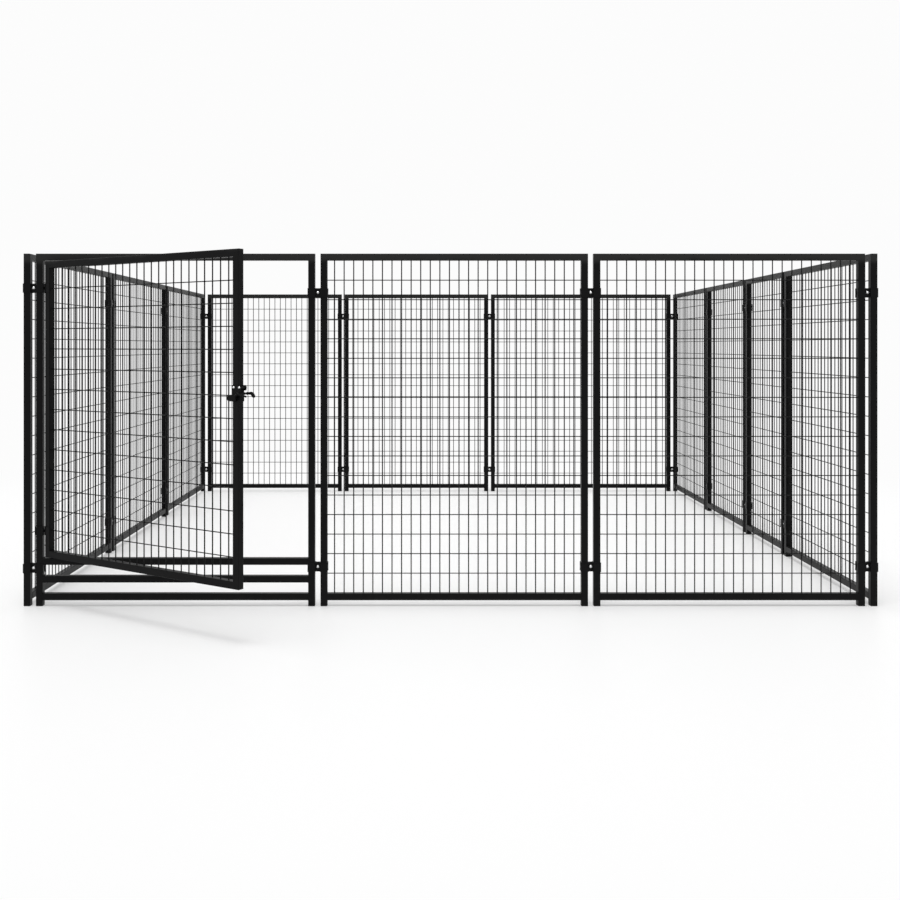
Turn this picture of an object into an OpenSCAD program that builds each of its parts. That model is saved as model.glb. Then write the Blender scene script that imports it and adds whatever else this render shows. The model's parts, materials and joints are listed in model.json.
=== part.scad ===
// Outdoor dog kennel run: welded wire panels clamped into a closed yard, with a hinged gate and a fork latch.
// Millimetres. The front looks towards -Y, +X runs to the right along the front and +Z is up.
// The origin is on the ground, under the middle of the front corner post on the left.

/* [Panels] */
// Height of every panel from the ground to the top rail
panel_h = 1829; // [1400:1:2200]
// Width of a standard panel, at the right of the front and along the left side
panel_w = 1408; // [1200:1:1800]
// Width of the panel that carries the gate
gate_panel_w = 1447; // [1000:1:1800]
// Width of the middle panel of the front
front_middle_w = 1388; // [1000:1:1800]
// Width of the first panel on the right side, counted from the front
right_first_w = 1295; // [900:1:1600]
// Width of the narrow second panel on the right side
right_second_w = 775; // [500:1:1200]
// Width of the third panel on the right side
right_third_w = 1005; // [700:1:1400]
// Width of the left panel of the back, seen from the front
back_left_w = 1245; // [900:1:1600]
// Width of the middle panel of the back
back_middle_w = 1330; // [900:1:1600]
// Clear gap between neighbouring posts
post_gap = 29; // [26:1:60]

/* [Tube] */
// Side of the square tube
tube = 35; // [28:1:45]
// Wall of the square tube
tube_wall = 1.5; // [1:0.1:3]
// Outside corner radius of the square tube
tube_corner_r = 3; // [1:0.5:6]
// Height of the bottom rails above the ground
leg_h = 31; // [20:1:80]
// Hairline left at each welded seam
weld_gap = 0.05; // [0.02:0.01:0.2]

/* [Foot plugs] */
// Thickness of the plug under the post
plug_h = 4; // [3:0.5:10]
// Height of the bevel around the foot
plug_bevel = 2; // [0.5:0.5:2.5]
// Length of the plug inside the tube
plug_depth = 22; // [10:1:60]
// Play of the plug inside the tube, all round
plug_play = 0.2; // [0.05:0.05:0.5]

/* [Wire mesh] */
// Wanted spacing of the upright wires
upright_pitch = 50; // [25:1:100]
// Distance from a post to the middle of the first upright wire
edge_gap = 37; // [20:1:60]
// Wanted spacing of the rows
row_pitch = 101.6; // [50:0.2:200]
// Diameter of the upright wires
upright_d = 6; // [2:0.1:8]
// Diameter of the row wires
row_d = 5; // [2:0.1:8]

/* [Clamps] */
// Height of the lower clamps above the ground, and of the upper ones below the top
clamp_z = 203; // [150:1:260]
// How much higher the upper clamp beside the hinges sits
hinge_clamp_up = 24; // [0:1:40]
// How much lower the lower clamp beside the hinges sits
hinge_clamp_down = 7; // [0:1:8]
// Height of a clamp
clamp_h = 48; // [36:1:60]
// Sheet thickness of a clamp half
clamp_sheet = 3; // [2:0.5:4]
// Outside bend radius of a clamp half
clamp_bend_r = 4; // [2:0.5:6]
// Play between a clamp half and the posts
clamp_play = 0.1; // [0.05:0.05:0.5]
// Depth of the pressed channel between the posts
clamp_dip = 8; // [6:0.5:10]
// Height of a side flange, which passes under the third low rail
flange_h = 20; // [12:1:21]
// Space between a side flange and the wire mesh
flange_clear = 1.5; // [1:0.5:5]

/* [Clamp bolts] */
// Shank diameter
bolt_d = 8; // [6:0.5:10]
// Play of the shank in its hole, in diameter
bolt_play = 1; // [0.4:0.1:1.5]
// Diameter of the crowned head
bolt_head_d = 18; // [13:0.5:19]
// Height of the head
bolt_head_h = 5; // [3:0.5:7]
// Height of the head's crown above its rim
bolt_crown = 2; // [1:0.25:3]
// Nut size across the flats
nut_flats = 13; // [10:0.5:17]
// Nut height
nut_h = 6.5; // [4:0.5:8]
// Play of the shank in the nut, in radius
nut_play = 0.05; // [0.02:0.01:0.1]
// Length of shank past the nut
bolt_over = 1.5; // [0.5:0.5:3]

/* [Gate] */
// Angle at which the gate stands open
gate_open = 32.8; // [0:0.1:170]
// Spacing of the three low rails under the gate
low_rail_step = 91.6; // [70:0.2:120]
// Clear gap above and below the leaf
gate_gap = 7; // [5:1:30]
// Clear gap between the hinge post and the leaf
hinge_gap = 10; // [8:1:20]
// Clear gap between the leaf and the latch post
latch_gap = 18; // [17:1:30]

/* [Hinges] */
// Height of a hinge
hinge_h = 44; // [30:1:48]
// Thickness of a hinge leaf
hinge_sheet = 3; // [2:0.5:4]
// Outside radius of a knuckle
knuckle_r = 6; // [5:0.25:6.25]
// Space between a knuckle and the tubes
knuckle_clear = 1.75; // [1.5:0.25:2.5]
// Radius of the hinge pin
hinge_pin_r = 3; // [2:0.25:3.5]
// Running play of the pin, in radius
pin_play = 0.05; // [0.02:0.01:0.1]
// Gap between neighbouring knuckles
knuckle_gap = 0.4; // [0.3:0.1:1]
// Radius of the pin heads
pin_head_r = 5; // [4:0.25:6]
// Height of the pin heads
pin_head_h = 3; // [2:0.5:5]
// Setback of a leaf's edge from the tube's edge
leaf_inset = 2; // [1:0.5:5]
// How far the gate leaf of a hinge turns round the stile
leaf_return = 9; // [4:0.5:11]

/* [Latch] */
// Height of the fork's pivot above the ground
latch_z = 1136; // [700:1:1400]
// Reach of the latch plates above the pivot
latch_up = 38; // [34:1:60]
// Reach of the latch plates below the pivot
latch_down = 36; // [20:1:60]
// Thickness of the latch plates
latch_sheet = 3; // [2:0.5:4]
// How far the latch plates reach past the stile's inner edge
plate_over = 3; // [0:0.5:6]
// Height of the back plate's ear, which carries the outer latch bolt
ear_h = 24; // [20:1:30]
// How far the back plate reaches past the stile below its ear
back_over = 1; // [0.5:0.5:3]
// Radius of the sleeve on the outer latch bolt
sleeve_r = 5; // [4.5:0.25:6]
// Outside radius of the pivot barrel
barrel_r = 6; // [5.5:0.25:6.5]
// Space between the pivot barrel and the leaf
barrel_clear = 2; // [0.5:0.5:3]
// Radius of the fork's round bar
fork_r = 4; // [3:0.25:4.5]
// Running play of the fork in its barrel, in radius
fork_play = 0.05; // [0.02:0.01:0.1]
// Space between the tines and the latch bolts and nuts
tine_clear = 3; // [2:0.5:10]
// How far the front tine reaches past the latch post
tine_front_over = 7; // [2:1:40]
// Downward tilt of the front tine, in degrees
tine_drop = 12; // [0:1:20]
// Length of the rear tine up to its hook, which catches behind the latch post
tine_rear_l = 21; // [14:1:50]
// Upward tilt of the rear tine, in degrees
tine_rise = 3; // [0:1:25]
// Downward bend at each of the hook's two knees, in degrees
tine_turn = 27; // [10:1:35]
// Length of the hook between its knees
tine_knee_l = 7; // [6:1:20]
// Length of the hook's end
tine_tail = 13; // [8:1:40]
// Radius of the rear tine's hook
tine_hook_r = 6; // [4.5:0.25:7]
// How much the fork's rounded bends and ends stand proud of its straight parts
fork_bend = 0.3; // [0.2:0.1:0.5]
// Radius of the forged bosses where the fork's bars meet
fork_boss_r = 7; // [5.5:0.25:9]
// Half the length of the forged bosses
fork_boss_l = 5.5; // [4.75:0.25:7]
// Radius of the hook's tip
tine_tip_r = 6.4; // [5:0.2:8]
// Distance from the pivot to the thick end of the thumb lever's pad
lever_l = 31; // [25:1:90]
// Downward tilt of the thumb lever, in degrees
lever_tilt = 37; // [0:1:45]
// Turn of the pad back towards level, in degrees
lever_turn = 39; // [5:1:45]
// Radius of the pad's thick end
lever_pad_r = 15.5; // [9:0.5:18]
// Radius of the pad's thin end
lever_end_r = 9.5; // [6:0.5:11]
// Distance between the pad's ends
lever_pad_l = 24; // [18:1:50]
// Thickness of the pad
lever_pad_t = 10; // [9:0.5:14]
// Height of the latch bolts above the pivot
latch_bolt_z = 27; // [24:0.5:30]
// Distance of the stile's latch bolt from the stile's inner edge
latch_bolt_x = 9; // [8:0.5:20]
// Shank diameter of the latch bolts
latch_bolt_d = 6; // [5:0.5:8]
// Diameter of their crowned heads
latch_head_d = 13; // [10:0.5:14]
// Height of their heads
latch_head_h = 4; // [2.5:0.5:5]
// Their nut size across the flats
latch_nut_flats = 10; // [8:0.5:12]
// Their nut height
latch_nut_h = 5; // [3:0.5:5.5]

/* [Hidden] */

black = [0.05, 0.05, 0.055];
zinc = [0.8, 0.8, 0.82];
plug_black = [0.03, 0.03, 0.03];
round_fn = 32;
bend_steps = 4;

// Panel widths of each side from left to right, as seen from outside the yard
front_run = gate_panel_w + front_middle_w + panel_w + 2 * post_gap;
side_run = 3 * panel_w + 2 * post_gap;
right_last_w = side_run - 3 * post_gap - right_first_w - right_second_w - right_third_w;
back_right_w = front_run - 2 * post_gap - back_left_w - back_middle_w;
front_ws = [gate_panel_w, front_middle_w, panel_w];
right_ws = [right_first_w, right_second_w, right_third_w, right_last_w];
back_ws = [back_right_w, back_middle_w, back_left_w];
left_ws = [panel_w, panel_w, panel_w];

half = tube / 2;
front_x = half + post_gap;
right_x = front_x + front_run + post_gap + half;
back_y = side_run - tube;
mesh_thick = upright_d + row_d + weld_gap;

// Clamps, measured from the middle of the gap between two posts
clamp_zs = [clamp_z, panel_h - clamp_z];
hinge_clamp_zs = [clamp_z - hinge_clamp_down, panel_h - clamp_z + hinge_clamp_up];
clamp_out = tube + post_gap / 2 + clamp_play;
clamp_face = half + clamp_play;
clamp_in = post_gap / 2 - clamp_play;
clamp_web = half - clamp_dip;
clamp_tip = -mesh_thick / 2 - flange_clear;

// Gate leaf, closed, in the plane of the front
low_rail_zs = [leg_h, leg_h + low_rail_step, leg_h + 2 * low_rail_step];
leaf_x = front_x + tube + hinge_gap;
leaf_w = gate_panel_w - 2 * tube - hinge_gap - latch_gap;
leaf_z = low_rail_zs[2] + tube + gate_gap;
leaf_h = panel_h - tube - gate_gap - leaf_z;

// Hinges
pin_x = front_x + tube + hinge_gap / 2;
pin_y = -half - knuckle_clear - knuckle_r;
hinge_top_z = hinge_clamp_zs[1];
hinge_zs = [leaf_z + leaf_z + leaf_h - hinge_top_z, hinge_top_z];
knuckle_h = (hinge_h - 2 * knuckle_gap) / 3;
leaf_reach = knuckle_r + knuckle_clear;
leaf_front = -half - hinge_sheet;
leaf_thick = hinge_sheet - weld_gap;
tongue_front = (pin_y + leaf_front) / 2;
tongue_thick = leaf_front + leaf_thick - tongue_front;

// The upper post leaf lies on the clamp; the lower one is packed out to the same line
post_leaf_front = -clamp_face - clamp_sheet - hinge_sheet;
post_leaf_depths = [-half - weld_gap - post_leaf_front, leaf_thick];

// Latch
latch_pivot_x = barrel_clear + barrel_r;
fork_x = leaf_x + leaf_w + latch_pivot_x;
stile_bolt_x = leaf_x + leaf_w - tube + latch_bolt_x;
plate_x = leaf_x + leaf_w - tube - plate_over;
plate_w = tube + plate_over + latch_pivot_x + barrel_r + barrel_clear / 2;
latch_face = half + weld_gap + latch_sheet;
latch_bolt_xs = [stile_bolt_x, fork_x];
tine_y = latch_face + max(latch_head_h, latch_nut_h) + tine_clear + fork_r;
post_far = latch_gap - latch_pivot_x + tube;
pad_taper = asin((lever_pad_r - lever_end_r) / lever_pad_l);

// Distance along a side to the start of panel i
function start(ws, i) = i == 0 ? 0 : start(ws, i - 1) + ws[i - 1] + post_gap;

// Sides of the yard, each seen from outside: local X to the right, local -Y outwards
module on_front() translate([front_x, 0, 0]) children();
module on_right() translate([right_x, -half, 0]) rotate([0, 0, 90]) children();
module on_back() translate([front_x + front_run, back_y, 0]) rotate([0, 0, 180]) children();
module on_left() translate([0, side_run - half, 0]) rotate([0, 0, -90]) children();

// Turns the gate leaf about its hinge pin
module on_gate() {
  translate([pin_x, pin_y, 0])
    rotate([0, 0, -gate_open])
      translate([-pin_x, -pin_y, 0])
        children();
}

// Square tube
module tube_outline() {
  square([tube - 2 * tube_corner_r, tube], center = true);
  square([tube, tube - 2 * tube_corner_r], center = true);
  for (x = [-1, 1], y = [-1, 1])
    translate([x * (half - tube_corner_r), y * (half - tube_corner_r)])
      circle(r = tube_corner_r, $fn = round_fn);
}

module tube_section() {
  difference() {
    tube_outline();
    square(tube - 2 * tube_wall, center = true);
  }
}

// Tube along X with its inner side down; each end is mitred or square
module bar(len, mitre_start, mitre_end) {
  difference() {
    rotate([0, 90, 0])
      linear_extrude(len)
        tube_section();
    if (mitre_start)
      translate([weld_gap, 0, half])
        rotate([0, 45, 0])
          translate([-tube, -tube, -2 * tube])
            cube([4 * tube, 2 * tube, 2 * tube]);
    if (mitre_end)
      translate([len - weld_gap, 0, half])
        rotate([0, -45, 0])
          translate([-3 * tube, -tube, -2 * tube])
            cube([4 * tube, 2 * tube, 2 * tube]);
  }
}

// Panel frames: two posts, a mitred top rail and the low rails welded between the posts
module posts(w) {
  translate([half, 0, plug_h])
    rotate([0, -90, 0])
      bar(panel_h - plug_h, false, true);
  translate([w - half, 0, plug_h])
    mirror([1, 0, 0])
      rotate([0, -90, 0])
        bar(panel_h - plug_h, false, true);
}

module rails(w, zs) {
  translate([0, 0, panel_h - half])
    bar(w, true, true);
  for (z = zs)
    translate([tube + weld_gap, 0, z + half])
      bar(w - 2 * tube - 2 * weld_gap, false, false);
}

module panel_frame(w) {
  color(black) {
    posts(w);
    rails(w, [leg_h]);
  }
}

// Welded wire grid filling w by h; the upright wires lie outside the rows
module wire_grid(w, h) {
  across = round((w - 2 * edge_gap) / upright_pitch);
  rows = round(h / row_pitch);
  color(black) {
    for (i = [0 : across])
      translate([edge_gap + i * (w - 2 * edge_gap) / across, -mesh_thick / 2 + upright_d / 2, weld_gap])
        cylinder(h = h - 2 * weld_gap, d = upright_d, $fn = round_fn);
    for (j = [1 : rows - 1])
      translate([weld_gap, mesh_thick / 2 - row_d / 2, j * h / rows])
        rotate([0, 90, 0])
          cylinder(h = w - 2 * weld_gap, d = row_d, $fn = round_fn);
  }
}

module panel_mesh(w) {
  translate([tube, 0, leg_h + tube])
    wire_grid(w - 2 * tube, panel_h - leg_h - 2 * tube);
}

// Plug in the open end of a post
module foot_plug() {
  spigot = tube - 2 * tube_wall - 2 * plug_play;
  intersection_for (turn = [0, 90])
    rotate([90, 0, turn])
      linear_extrude(tube, center = true)
        polygon([
          [-half + plug_bevel, 0], [half - plug_bevel, 0], [half, plug_bevel],
          [half, plug_h - weld_gap], [-half, plug_h - weld_gap], [-half, plug_bevel]]);
  translate([-spigot / 2, -spigot / 2, plug_bevel])
    cube([spigot, spigot, plug_h - plug_bevel + plug_depth]);
}

module plugs_along(ws) {
  for (i = [0 : len(ws) - 1], x = [half, ws[i] - half])
    translate([start(ws, i) + x, 0, 0])
      foot_plug();
}

// Clamps: two pressed halves drawn together by a bolt between the posts
// Quarter arc of radius r round [x, y], from angle a
function bend(x, y, r, a) =
  [for (i = [0 : bend_steps]) [x + r * cos(a + 90 * i / bend_steps), y + r * sin(a + 90 * i / bend_steps)]];

module clamp_half() {
  outer = clamp_out + clamp_sheet;
  front = clamp_face + clamp_sheet;
  channel = clamp_in - clamp_sheet;
  difference() {
    linear_extrude(clamp_h, center = true)
      polygon(concat(
        [[-outer, clamp_tip]],
        bend(-outer + clamp_bend_r, -front + clamp_bend_r, clamp_bend_r, 180),
        [[-channel, -front], [-channel, -clamp_web], [channel, -clamp_web], [channel, -front]],
        bend(outer - clamp_bend_r, -front + clamp_bend_r, clamp_bend_r, 270),
        [[outer, clamp_tip], [clamp_out, clamp_tip], [clamp_out, -clamp_face], [clamp_in, -clamp_face]],
        [[clamp_in, -clamp_web + clamp_sheet], [-clamp_in, -clamp_web + clamp_sheet]],
        [[-clamp_in, -clamp_face], [-clamp_out, -clamp_face], [-clamp_out, clamp_tip]]));
    rotate([90, 0, 0])
      cylinder(h = 4 * tube, d = bolt_d + bolt_play, center = true, $fn = round_fn);
    for (x = [-1, 1], z = [-1, 1])
      translate([x * outer, -clamp_face / 2, z * (flange_h + clamp_h) / 2])
        cube([3 * clamp_sheet, clamp_face, clamp_h], center = true);
  }
}

// Bolt along +Y with the underside of its crowned head at the origin
module crowned_bolt(d, head_d, head_h, grip) {
  ball_r = (bolt_crown * bolt_crown + head_d * head_d / 4) / (2 * bolt_crown);
  intersection() {
    translate([0, ball_r - head_h, 0])
      rotate([90, 0, 0])
        sphere(r = ball_r, $fn = round_fn);
    rotate([90, 0, 0])
      cylinder(h = 2 * head_h, d = head_d, $fn = round_fn);
  }
  rotate([-90, 0, 0])
    translate([0, 0, -head_h / 2])
      cylinder(h = grip + head_h / 2, d = d, $fn = round_fn);
}

module hex_nut(flats, h, bore_r) {
  rotate([-90, 0, 0])
    difference() {
      cylinder(h = h, d = flats / cos(30), $fn = 6);
      translate([0, 0, -h])
        cylinder(h = 3 * h, r = bore_r, $fn = round_fn);
    }
}

// Junctions first to last along a side, at both clamp heights
module at_joints(ws, first, last) {
  for (i = [first : last], z = clamp_zs)
    translate([start(ws, i) - post_gap / 2, 0, z])
      children();
}

// Junctions of the front; the first stands beside the hinges
module at_front_joints() {
  at_joints(front_ws, 1, 3) children();
  for (z = hinge_clamp_zs)
    translate([-post_gap / 2, 0, z])
      children();
}

module clamp_half_outer() clamp_half();
module clamp_half_inner() mirror([0, 1, 0]) clamp_half();

module clamp_bolt() {
  translate([0, -clamp_web - weld_gap, 0])
    crowned_bolt(bolt_d, bolt_head_d, bolt_head_h, 2 * clamp_web + 3 * weld_gap + nut_h + bolt_over);
}

module clamp_nut() {
  translate([0, clamp_web + weld_gap, 0])
    hex_nut(nut_flats, nut_h, bolt_d / 2 + nut_play);
}

// Nodes: panel frames
module frame_gate() {
  on_front()
    color(black) {
      posts(gate_panel_w);
      rails(gate_panel_w, low_rail_zs);
    }
}

module frame_on_front(i) on_front() translate([start(front_ws, i), 0, 0]) panel_frame(front_ws[i]);
module frame_on_right(i) on_right() translate([start(right_ws, i), 0, 0]) panel_frame(right_ws[i]);
module frame_on_back(i) on_back() translate([start(back_ws, i), 0, 0]) panel_frame(back_ws[i]);
module frame_on_left(i) on_left() translate([start(left_ws, i), 0, 0]) panel_frame(left_ws[i]);

// Nodes: panel meshes
module mesh_on_front(i) on_front() translate([start(front_ws, i), 0, 0]) panel_mesh(front_ws[i]);
module mesh_on_right(i) on_right() translate([start(right_ws, i), 0, 0]) panel_mesh(right_ws[i]);
module mesh_on_back(i) on_back() translate([start(back_ws, i), 0, 0]) panel_mesh(back_ws[i]);
module mesh_on_left(i) on_left() translate([start(left_ws, i), 0, 0]) panel_mesh(left_ws[i]);

// Nodes: feet and clamps
module foot_plugs() {
  color(plug_black) {
    on_front() plugs_along(front_ws);
    on_right() plugs_along(right_ws);
    on_back() plugs_along(back_ws);
    on_left() plugs_along(left_ws);
  }
}

module clamp_outer_front() color(black) on_front() at_front_joints() clamp_half_outer();
module clamp_inner_front() color(black) on_front() at_front_joints() clamp_half_inner();
module clamp_outer_right() color(black) on_right() at_joints(right_ws, 1, 3) clamp_half_outer();
module clamp_inner_right() color(black) on_right() at_joints(right_ws, 1, 3) clamp_half_inner();
module clamp_outer_back() color(black) on_back() at_joints(back_ws, 0, 3) clamp_half_outer();
module clamp_inner_back() color(black) on_back() at_joints(back_ws, 0, 3) clamp_half_inner();
module clamp_outer_left() color(black) on_left() at_joints(left_ws, 1, 2) clamp_half_outer();
module clamp_inner_left() color(black) on_left() at_joints(left_ws, 1, 2) clamp_half_inner();

module clamp_bolts() {
  color(zinc) {
    on_front() at_front_joints() clamp_bolt();
    on_right() at_joints(right_ws, 1, 3) clamp_bolt();
    on_back() at_joints(back_ws, 0, 3) clamp_bolt();
    on_left() at_joints(left_ws, 1, 2) clamp_bolt();
  }
}

module clamp_nuts() {
  color(zinc) {
    on_front() at_front_joints() clamp_nut();
    on_right() at_joints(right_ws, 1, 3) clamp_nut();
    on_back() at_joints(back_ws, 0, 3) clamp_nut();
    on_left() at_joints(left_ws, 1, 2) clamp_nut();
  }
}

// Nodes: hinges, with the outer knuckles on the post and the middle one on the gate
module knuckle(z, h) {
  translate([pin_x, pin_y, z])
    cylinder(h = h, r = knuckle_r, $fn = round_fn);
}

module pin_bore(z) {
  translate([pin_x, pin_y, z])
    cylinder(h = 2 * hinge_h, r = hinge_pin_r + pin_play, center = true, $fn = round_fn);
}

module hinge_post_leaves() {
  step = knuckle_h + knuckle_gap;
  color(black)
    for (i = [0, 1])
      difference() {
        union() {
          translate([front_x + leaf_inset, post_leaf_front, hinge_zs[i] - hinge_h / 2])
            cube([pin_x - leaf_reach - front_x - leaf_inset, post_leaf_depths[i], hinge_h]);
          for (dz = [-hinge_h / 2, -hinge_h / 2 + 2 * step]) {
            translate([pin_x - 2 * leaf_reach, post_leaf_front, hinge_zs[i] + dz])
              cube([2 * leaf_reach, leaf_thick, knuckle_h]);
            knuckle(hinge_zs[i] + dz, knuckle_h);
          }
        }
        pin_bore(hinge_zs[i]);
      }
}

module hinge_gate_leaves() {
  right = leaf_x + tube;
  color(black)
    on_gate()
      for (z = hinge_zs)
        difference() {
          union() {
            translate([pin_x + leaf_reach, leaf_front, z - hinge_h / 2])
              cube([right + hinge_sheet - pin_x - leaf_reach, leaf_thick, hinge_h]);
            translate([right + weld_gap, leaf_front, z - hinge_h / 2])
              cube([hinge_sheet - weld_gap, hinge_sheet + leaf_return, hinge_h]);
            translate([pin_x, tongue_front, z - knuckle_h / 2])
              cube([2 * leaf_reach, tongue_thick, knuckle_h]);
            knuckle(z - knuckle_h / 2, knuckle_h);
          }
          pin_bore(z);
        }
}

module hinge_pins() {
  color(black)
    for (z = hinge_zs, s = [-1, 1])
      translate([pin_x, pin_y, z])
        mirror([0, 0, s < 0 ? 1 : 0]) {
          cylinder(h = hinge_h / 2 + knuckle_gap + pin_head_h / 2, r = hinge_pin_r, $fn = round_fn);
          translate([0, 0, hinge_h / 2 + knuckle_gap])
            cylinder(h = pin_head_h, r = pin_head_r, $fn = round_fn);
        }
}

// Nodes: gate leaf
module stile_holes() {
  translate([stile_bolt_x, 0, latch_z + latch_bolt_z])
    rotate([90, 0, 0])
      cylinder(h = 2 * tube, d = latch_bolt_d + bolt_play, center = true, $fn = round_fn);
}

module gate_frame() {
  color(black)
    on_gate() {
      translate([leaf_x, 0, leaf_z + leaf_h - half])
        bar(leaf_w, true, true);
      translate([leaf_x, 0, leaf_z + half])
        mirror([0, 0, 1])
          bar(leaf_w, true, true);
      translate([leaf_x + half, 0, leaf_z])
        rotate([0, -90, 0])
          bar(leaf_h, true, true);
      difference() {
        translate([leaf_x + leaf_w - half, 0, leaf_z])
          mirror([1, 0, 0])
            rotate([0, -90, 0])
              bar(leaf_h, true, true);
        stile_holes();
      }
    }
}

module gate_mesh() {
  on_gate()
    translate([leaf_x + tube, 0, leaf_z + tube])
      wire_grid(leaf_w - 2 * tube, leaf_h - 2 * tube);
}

// Nodes: latch
module latch_plate_holes() {
  translate([fork_x, 0, latch_z])
    rotate([90, 0, 0])
      cylinder(h = 4 * tube, r = fork_r + fork_play, center = true, $fn = round_fn);
  for (x = latch_bolt_xs)
    translate([x, 0, latch_z + latch_bolt_z])
      rotate([90, 0, 0])
        cylinder(h = 4 * tube, d = latch_bolt_d + bolt_play, center = true, $fn = round_fn);
}

module latch_plate() {
  translate([plate_x, -latch_face, latch_z - latch_down])
    cube([plate_w, latch_sheet, latch_up + latch_down]);
}

module latch_bracket() {
  color(black)
    on_gate()
      difference() {
        union() {
          latch_plate();
          translate([fork_x, half, latch_z])
            rotate([90, 0, 0])
              cylinder(h = tube + latch_sheet, r = barrel_r, $fn = round_fn);
          translate([fork_x, half, latch_z + latch_bolt_z])
            rotate([90, 0, 0])
              cylinder(h = tube + latch_sheet, r = sleeve_r, $fn = round_fn);
        }
        latch_plate_holes();
      }
}

module latch_back_plate() {
  color(black)
    on_gate()
      difference() {
        mirror([0, 1, 0])
          latch_plate();
        latch_plate_holes();
        translate([leaf_x + leaf_w + back_over, 0, latch_z - 2 * latch_down])
          cube([tube, 2 * tube, 2 * latch_down + latch_up - ear_h]);
      }
}

module latch_bolts() {
  color(zinc)
    on_gate()
      for (x = latch_bolt_xs)
        translate([x, -latch_face - weld_gap, latch_z + latch_bolt_z])
          crowned_bolt(
            latch_bolt_d, latch_head_d, latch_head_h, 2 * latch_face + 3 * weld_gap + latch_nut_h);
}

module latch_nuts() {
  color(zinc)
    on_gate()
      for (x = latch_bolt_xs)
        translate([x, latch_face + weld_gap, latch_z + latch_bolt_z])
          hex_nut(latch_nut_flats, latch_nut_h, latch_bolt_d / 2 + nut_play);
}

// Round bar along X of steps [straight run, downward bend in degrees, radius], with a ball at its end
module bent_bar(steps, tip, i = 0) {
  run = steps[i][0];
  turn = steps[i][1];
  last = i == len(steps) - 1;
  rotate([0, 90, 0])
    cylinder(h = run, r = steps[i][2], $fn = round_fn);
  translate([run, 0, 0])
    rotate([0, 90 + turn / 2, 0])
      sphere(r = last ? tip : steps[i + 1][2] + fork_bend, $fn = round_fn);
  if (!last)
    translate([run, 0, 0])
      rotate([0, turn, 0])
        bent_bar(steps, tip, i + 1);
}

// Flat pad of the thumb lever, tapering along X from its thick end at the origin
module lever_pad() {
  thick_y = lever_pad_r * cos(pad_taper) - fork_bend;
  thin_y = lever_end_r * cos(pad_taper) - fork_bend;
  rotate([90, 0, 0])
    linear_extrude(lever_pad_t, center = true) {
      circle(r = lever_pad_r, $fn = round_fn);
      translate([lever_pad_l, 0])
        circle(r = lever_end_r, $fn = round_fn);
      polygon([
        [lever_pad_r * sin(pad_taper), -thick_y], [lever_pad_l + lever_end_r * sin(pad_taper), -thin_y],
        [lever_pad_l + lever_end_r * sin(pad_taper), thin_y], [lever_pad_r * sin(pad_taper), thick_y]]);
    }
}

module latch_fork() {
  color(black)
    on_gate()
      translate([fork_x, 0, latch_z]) {
        rotate([90, 0, 0])
          cylinder(h = 2 * tine_y, r = fork_r, center = true, $fn = round_fn);
        for (side = [-1, 1])
          translate([0, side * tine_y, 0])
            rotate([90, 0, 0])
              cylinder(h = 2 * fork_boss_l, r = fork_boss_r, center = true, $fn = round_fn);
        translate([0, -tine_y, 0]) {
          rotate([0, tine_drop, 0])
            bent_bar([[post_far + tine_front_over, 0, fork_r]], fork_r + fork_bend);
          rotate([0, lever_tilt, 180]) {
            rotate([0, 90, 0])
              cylinder(h = lever_l, r = fork_r, $fn = round_fn);
            translate([lever_l, 0, 0])
              rotate([0, -lever_turn, 0])
                lever_pad();
          }
        }
        translate([0, tine_y, 0])
          rotate([0, -tine_rise, 0])
            bent_bar(
              [[tine_rear_l, tine_turn, fork_r], [tine_knee_l, tine_turn, tine_hook_r],
                [tine_tail, 0, tine_hook_r]],
              tine_tip_r);
      }
}

frame_gate();
frame_on_front(1);  // frame_front_middle
frame_on_front(2);  // frame_front_right
frame_on_right(0);  // frame_right_1
frame_on_right(1);  // frame_right_2
frame_on_right(2);  // frame_right_3
frame_on_right(3);  // frame_right_4
frame_on_back(0);  // frame_back_1
frame_on_back(1);  // frame_back_2
frame_on_back(2);  // frame_back_3
frame_on_left(0);  // frame_left_1
frame_on_left(1);  // frame_left_2
frame_on_left(2);  // frame_left_3
mesh_on_front(1);  // mesh_front_middle
mesh_on_front(2);  // mesh_front_right
mesh_on_right(0);  // mesh_right_1
mesh_on_right(1);  // mesh_right_2
mesh_on_right(2);  // mesh_right_3
mesh_on_right(3);  // mesh_right_4
mesh_on_back(0);  // mesh_back_1
mesh_on_back(1);  // mesh_back_2
mesh_on_back(2);  // mesh_back_3
mesh_on_left(0);  // mesh_left_1
mesh_on_left(1);  // mesh_left_2
mesh_on_left(2);  // mesh_left_3
foot_plugs();
clamp_outer_front();
clamp_inner_front();
clamp_outer_right();
clamp_inner_right();
clamp_outer_back();
clamp_inner_back();
clamp_outer_left();
clamp_inner_left();
clamp_bolts();
clamp_nuts();
hinge_post_leaves();
hinge_pins();
hinge_gate_leaves();
gate_frame();
gate_mesh();
latch_bracket();
latch_back_plate();
latch_bolts();
latch_nuts();
latch_fork();
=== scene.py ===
import json
import math

import bmesh
import bpy
from mathutils import Matrix, Vector


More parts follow.
